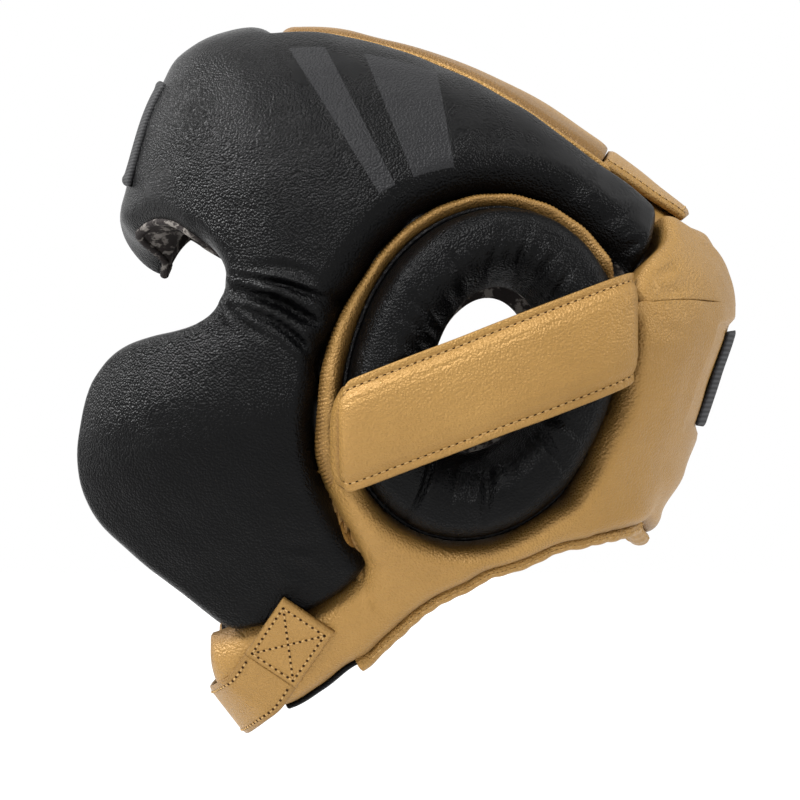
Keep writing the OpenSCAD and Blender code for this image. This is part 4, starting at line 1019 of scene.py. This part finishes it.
at, join = finish("hook_and_loop", Specular_IOR_Level=0.15)
fuzz = at.cells(1400)
hook_and_loop = join(Base_Color=fuzz.dye(dyed(0.10, 0.10, 0.10), dyed(0.045, 0.045, 0.05)),
                     Roughness=0.85 + 0.1 * fuzz, Normal=(1 - fuzz).bump(0.8, 0.0006))
FLAP_T, TONGUE_T, PATCH_T, GAP = 3.5, 3.0, 0.8, 0.25
TONGUE_DEPTH = FLAP_T + GAP + 2 * (GAP + PATCH_T)


def flap_spots(u, v):
    return strip(crown_break - 0.3, CROWN_END, 46, 34, u, v)


def tongue_spots(u, v):
    return strip(crown_break - 0.5, CROWN_REAR - 0.6, 48.6, 48.6, u, v, yoke_middle[0, 0] - 0.6)


def lap_dip(a):
    """Depth by which the lap lies lower towards the front: a smooth step over 12 degrees."""
    return 2.1 * ease((a - 37) / 12)


def tongue_depth(u, v):
    """Depth of the tongue: it lies with the lap and comes up in a smooth step where the yoke begins."""
    a = tongue_spots(u, v)[..., 0]
    return TONGUE_DEPTH + lap_dip(a) - 4.6 * ease((37.5 - a) / 6)


lapped("crown_tongue", "leather", tongue_spots, tongue_depth, TONGUE_T, [gold_leather],
       "headguard")
lapped("crown_flap", "leather", flap_spots, lambda u, v: lap_dip(flap_spots(u, v)[..., 0]),
       FLAP_T, [gold_leather], "crown_flap", soft=0.5)
for name, body, level in (("crown_loop_patch", "headguard", TONGUE_DEPTH - GAP - PATCH_T),
                          ("crown_hook_patch", "crown_flap", FLAP_T + GAP)):
    lapped(name, "pile", lambda u, v: strip(CROWN_END + 0.55 * LAP_TURN, CROWN_END + 1.5, 25, 25, u, v),
           lambda u, v, level=level: level + lap_dip(CROWN_END + 0.55 * LAP_TURN * (1 - u) + 1.5 * u),
           PATCH_T, [hook_and_loop], body)


def flap_face(u, v):
    spots = flap_spots(u, v)
    return place(spots[..., 0], spots[..., 1], lap_dip(spots[..., 0]) - 0.02)


for name, level in (("left", 0.04), ("right", 0.96)):
    row = np.linspace(0.03, 0.96, 200)
    stitches = sewn(f"crown_flap_stitches_{name}", flap_face, row, np.full(200, level))
    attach(stitches, "crown_flap")
row = np.linspace(0.04, 0.96, 300)
stitches = sewn("crown_flap_stitches_end", flap_face, np.full(300, 0.92), row)
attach(stitches, "crown_flap")

# Forehead patch. A plain dark patch with a raised, closely stitched border is sewn on the brow.
at, join = finish("badge_patch", Specular_IOR_Level=0.25)
weave = at.add("ShaderNodeTexWave", {"bands_direction": "Z"}, {"Vector": at, "Scale": 220, "Distortion": 0.4})
badge_finish = join(Base_Color=weave.dye(dyed(0.14, 0.14, 0.145), dyed(0.09, 0.09, 0.095)),
                    Roughness=0.6 + 0.15 * weave, Normal=weave.bump(0.4, 0.0003))


def badge_face(u, v, deep=0.0):
    spots = strip(152, 137.6, 27, 27, u, v)
    brim = np.minimum(np.minimum(u, 1 - u) * 40, np.minimum(v, 1 - v) * 54)
    raised = 0.55 * np.exp(-((brim - 1.8) / 1.3) ** 2) - 0.6 * ease((0.5 - brim) / 0.5)
    return place(spots[..., 0], spots[..., 1], 0.45 - raised * (deep == 0) + deep)


u, v = np.meshgrid(close_at_ends(60, 0.7, 0.7), close_at_ends(90, 0.7, 0.7), indexing="ij")
badge = slab_piece("forehead_badge_patch", badge_face(u, v), badge_face(u, v, 1.6), [badge_finish])
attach(badge, "headguard")
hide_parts("forehead_badge")

# Rear closure strap. A dark woven strap is sewn to the left flap and laps over the right one,
# where a hook patch under it holds on a loop patch.
at, join = finish("dark_strap", Specular_IOR_Level=0.2)
ribs = at.add("ShaderNodeTexWave", {"bands_direction": "Z"}, {"Vector": at, "Scale": 160, "Distortion": 0.2})
dark_strap = join(Base_Color=ribs.dye(dyed(0.19, 0.19, 0.20), dyed(0.13, 0.13, 0.135)),
                  Roughness=0.7 + 0.15 * ribs, Normal=ribs.bump(0.5, 0.0004))
REAR_TURN = np.degrees(20 / reach(0.0))
REAR_STACK = 2 * (GAP + PATCH_T)
REAR_T = 1.6


def rear_spot(x0, x1, half, u, v):
    """Angles on the rear strap: u from x0 to x1 off the mid-plane, v over its height."""
    return np.stack([-1.5 + (2 * v - 1) * half, off_middle(x0 + (x1 - x0) * u)], -1)


lapped("rear_strap", "webbing", lambda u, v: rear_spot(28, -48, REAR_TURN, u, v),
       lambda u, v: REAR_DENT - GAP - REAR_T - REAR_STACK * ease(2.5 * u), REAR_T, [dark_strap],
       "rear_strap")
for name, body, level in (("rear_hook_patch", "rear_strap", REAR_DENT - REAR_STACK),
                          ("rear_loop_patch", "rear_flap_right", REAR_DENT - GAP - PATCH_T)):
    lapped(name, "pile", lambda u, v: rear_spot(-6, -45, REAR_TURN * 0.85, u, v),
           lambda u, v, level=level: level + 0 * u, PATCH_T, [hook_and_loop], body)

# Chin closure. A tab of gold leather is sewn on each neck panel with a box and a cross of stitches.
# The chin strap leaves the left tab, passes under the chin and holds on the right tab.
TAB_LONG, TAB_WIDE, STRAP_T = 28.0, 25.0, 2.4
TAB_AT = np.array([-57.0, -127.2])
tab_along = np.array([-0.563, -0.826])
tab_across = np.array([-tab_along[1], tab_along[0]])
TAB_TOP = 0.95 - GAP - STRAP_T
LOOP_TOP = TAB_TOP - GAP - PATCH_T
HOOK_TOP = LOOP_TOP - GAP - PATCH_T
TAIL_TOP = HOOK_TOP - GAP - STRAP_T


def on_tab(l, w, depth):
    """Point at l along the tab and w across it."""
    l, w = (np.asarray(far, float)[..., None] for far in (l, w))
    spots = seen(TAB_AT + l * tab_along + w * tab_across, NECK_CUT)
    return place(spots[..., 0], spots[..., 1], depth)


def tab_face(u, v, top=TAB_TOP):
    return on_tab((np.asarray(u) - 0.5) * TAB_LONG, (np.asarray(v) - 0.5) * TAB_WIDE, top - 0.02)


def tab_piece(name, l0, l1, wide, top, thick, finish, body, stands_for, turned):
    u, v = np.meshgrid(np.linspace(0, 1, 30), np.linspace(0, 1, 30), indexing="ij")
    brim = np.minimum(np.minimum(u, 1 - u), np.minimum(v, 1 - v)) * 30
    face = on_tab(l0 + (l1 - l0) * u, (v - 0.5) * wide, top + thick * 0.3 * np.clip(1 - brim, 0, 1) ** 2)
    back = on_tab(l0 + (l1 - l0) * u, (v - 0.5) * wide, top + thick)
    piece = slab_piece(name, turned(face), turned(back), [finish])
    # Painted shade: on the gold tabs, the edges come out darker
    mark(piece, "edge", np.tile(brim.ravel() + 2.5, 2))
    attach(piece, body)
    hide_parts(stands_for)


INSET = 2.6
box_u = np.where([0, 1, 1, 0, 0, 1, 1, 0], TAB_LONG - INSET, INSET) / TAB_LONG
box_v = np.where([0, 0, 1, 1, 0, 1, 0, 1], TAB_WIDE - INSET, INSET) / TAB_WIDE
for side in ("left", "right"):
    turned = (lambda p: p) if side == "left" else flipped
    tab_piece(f"chin_tab_{side}_leather", -TAB_LONG / 2, TAB_LONG / 2, TAB_WIDE, TAB_TOP, STRAP_T,
              gold_leather, "headguard", f"chin_tab_{side}", turned)
    for k, (i, j) in enumerate(((0, 1), (1, 2), (2, 3), (3, 0), (4, 5), (6, 7))):
        t = np.linspace(0, 1, 80)
        stitches = sewn(f"chin_tab_stitches_{k}_{side}", lambda u, v: turned(tab_face(u, v)),
                        box_u[i] + (box_u[j] - box_u[i]) * t, box_v[i] + (box_v[j] - box_v[i]) * t,
                        pitch=2.6, long=1.7)
        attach(stitches, "headguard")
for name, body, top in (("chin_loop_patch", "headguard", LOOP_TOP),
                        ("chin_hook_patch", "chin_strap", HOOK_TOP)):
    tab_piece(f"{name}_pile", 3 - TAB_LONG / 2, TAB_LONG / 2 - 3, TAB_WIDE - 6, top, PATCH_T,
              hook_and_loop, body, name, flipped)


def tab_section(l, outer):
    """Corners of the strap's section on the tab: front inner, rear inner, rear outer, front outer."""
    corners = ((-1, 1), (1, 1), (1, 0), (-1, 0))
    return np.array([on_tab(l, c * TAB_WIDE / 2, outer + k * STRAP_T) for c, k in corners])


def unit(p):
    return p / np.linalg.norm(p)


def free_section(point, ahead, side):
    """Corners of the section where the strap hangs free, heading ahead with its width along side."""
    w = unit(side - (side @ ahead) * ahead)
    out = unit(np.cross(ahead, w))
    corners = ((-1, -1), (1, -1), (1, 1), (-1, 1))
    return np.array([point + c * TAB_WIDE / 2 * w + k * STRAP_T / 2 * out for c, k in corners])


CHIN_START, CHIN_LEAD, CHIN_DROP = TAB_LONG / 2 - 0.2, 11.0, 10.4
leaving = [tab_section(l, TAB_TOP) for l in (CHIN_START, CHIN_START + CHIN_LEAD)]
landing = [flipped(tab_section(l, TAIL_TOP)) for l in (CHIN_START + CHIN_LEAD, CHIN_START, 0, -TAB_LONG / 2)]
chin_from, chin_to = leaving[1].mean(0), landing[0].mean(0)
chin_low = np.array([0, chin_from[1] - CHIN_DROP * 1.25, chin_from[2] - CHIN_DROP])
tab_side = unit(on_tab(0, 1, 0) - on_tab(0, -1, 0))


def sag_point(start, wide, low):
    """Middle of the hanging strap: the share wide of start's x, and start moved by low to the lowest."""
    return np.array([start[0] * wide, *(start[1:] + (chin_low[1:] - start[1:]) * low)])


SAG = ((0.86, 0.45), (0.5, 0.88), (0, 1))
middles = [sag_point(chin_from, *s) for s in SAG] + [sag_point(chin_to, *s) for s in SAG[1::-1]]
path = [chin_from, *middles, chin_to]
hanging = []
for k, turned_by in enumerate((0.4, 0.85, 1, 0.85, 0.4)):
    side = tab_side if k < 2 else flipped(tab_side)
    towards = side + (np.array([0, 0.6, -0.8]) - side) * turned_by
    hanging.append(free_section(middles[k], unit(path[k + 2] - path[k]), towards))
sections = np.array(leaving + hanging + landing)


def chin_point(u, p, q):
    """Point of the chin strap at share u of its length, p across it and q through it, both from -1 to 1."""
    c = [along(sections[:, k], u) for k in range(4)]
    p, q = np.asarray(p)[..., None], np.asarray(q)[..., None]
    inner, outer = c[0] * (1 - p) / 2 + c[1] * (1 + p) / 2, c[3] * (1 - p) / 2 + c[2] * (1 + p) / 2
    return inner * (1 - q) / 2 + outer * (1 + q) / 2


lengths, rounds = np.linspace(0, 1, 150), np.linspace(0, 2 * np.pi, 49)[:-1]
p = np.sign(np.cos(rounds)) * np.abs(np.cos(rounds)) ** 0.35
q = np.sign(np.sin(rounds)) * np.abs(np.sin(rounds)) ** 0.6
u, p2 = np.meshgrid(lengths, p, indexing="ij")
q2 = np.broadcast_to(q, u.shape)
band = chin_point(u, p2, q2 * (1 - 0.25 * np.clip(np.abs(p2) - 0.8, 0, 1) / 0.2))
quads, faces = tube_faces(np.arange(band.shape[0] * 48).reshape(-1, 48))
chin_strap = mesh_piece("chin_strap_leather", band.reshape(-1, 3), faces, [gold_leather])
corner = band.reshape(-1, 3)[quads]
if np.sum(corner[:, 0] * np.cross(corner[:, 1], corner[:, 2])) < 0:
    chin_strap.data.flip_normals()
# Painted shade: the whole strap is a little darker and its two narrow sides more so
mark(chin_strap, "edge", np.tile(4.0 - 3 * np.abs(p) ** 8, band.shape[0]))
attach(chin_strap, "chin_strap")
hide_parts("chin_strap")
row = np.linspace(0.02, 0.98, 400)
for name, level in (("front", -0.8), ("rear", 0.8)):
    stitches = sewn(f"chin_strap_stitches_{name}", lambda u, v: chin_point(u, v, np.full(np.shape(u), 1.02)),
                    row, np.full(400, level), pitch=2.8, long=1.8)
    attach(stitches, "chin_strap")

# Stage. A pale floor that lies below the reach of the open chin strap, a white surround, four soft
# lamps and the camera at the wearer's left. The floor is white to the camera and keeps a soft shadow.
FLOOR, FLOOR_HALF = (cad_box[0][2] - 0.078) * 1000, 3000
corners = [[x * FLOOR_HALF, y * FLOOR_HALF, FLOOR] for x, y in ((-1, -1), (1, -1), (1, 1), (-1, 1))]
floor = mesh_piece("floor", corners, [[0, 1, 2, 3]], [], smooth=False)
made = bpy.data.materials.new("pale_floor")
made.use_nodes = True
tree = made.node_tree
tree.nodes.clear()
base = Tone(tree)
lit = base.add("ShaderNodeEmission", {}, {"Color": (1, 1, 1, 1), "Strength": 1.34})
matt = base.add("ShaderNodeBsdfDiffuse", {}, {"Color": (0.86, 0.86, 0.86, 1)})
path = base.add("ShaderNodeLightPath")
shown = path.maths("MAXIMUM", path, base.add("ShaderNodeLightPath", out=3))
at = base.add("ShaderNodeTexCoord", out=3)
far_off = at.add("ShaderNodeVectorMath", {"operation": "LENGTH"}, {0: at}, out=1).step(0.6, 1.6)
mixed = base.add("ShaderNodeMixShader", {}, {0: shown * (far_off * 0.38 + 0.62), 1: matt, 2: lit})
base.add("ShaderNodeOutputMaterial", {}, {0: mixed})
floor.data.materials.append(made)

world = bpy.data.worlds.new("surround")
bpy.context.scene.world = world
world.use_nodes = True
world.node_tree.nodes.clear()
base = Tone(world.node_tree)
path = base.add("ShaderNodeLightPath")
shown = path.maths("MAXIMUM", path, base.add("ShaderNodeLightPath", out=3))
shown = shown.maths("MAXIMUM", shown, base.add("ShaderNodeLightPath", out=6))
back = base.add("ShaderNodeBackground", {}, {"Color": (1, 1, 1, 1), "Strength": shown * 0.66 + 0.34})
base.add("ShaderNodeOutputWorld", {}, {0: back})

LAMPS = (("lamp_top", (0.45, -0.3, 1.3), 0.3, 12), ("lamp_front", (-0.15, -1.1, 0.75), 0.36, 18),
         ("lamp_side", (1.0, -0.7, 0.9), 0.32, 14), ("lamp_back", (0.2, 1.3, 0.6), 0.5, 7))
for name, spot, size, power in LAMPS:
    lamp = bpy.data.lights.new(name, "AREA")
    lamp.size, lamp.energy = size, power
    holder = bpy.data.objects.new(name, lamp)
    holder.location = spot
    holder.rotation_euler = (-holder.location).to_track_quat("-Z", "Y").to_euler()
    bpy.context.scene.collection.objects.link(holder)

eye = bpy.data.cameras.new("side_view")
eye.angle = 2 * np.arctan(0.168 / 1.5)
camera = bpy.data.objects.new("side_view", eye)
camera.location = (1.5, -0.0126, -0.0294)
camera.rotation_euler = (np.pi / 2, 0, np.pi / 2)
bpy.context.scene.collection.objects.link(camera)
bpy.context.scene.camera = camera
bpy.context.scene.view_settings.view_transform = "Standard"
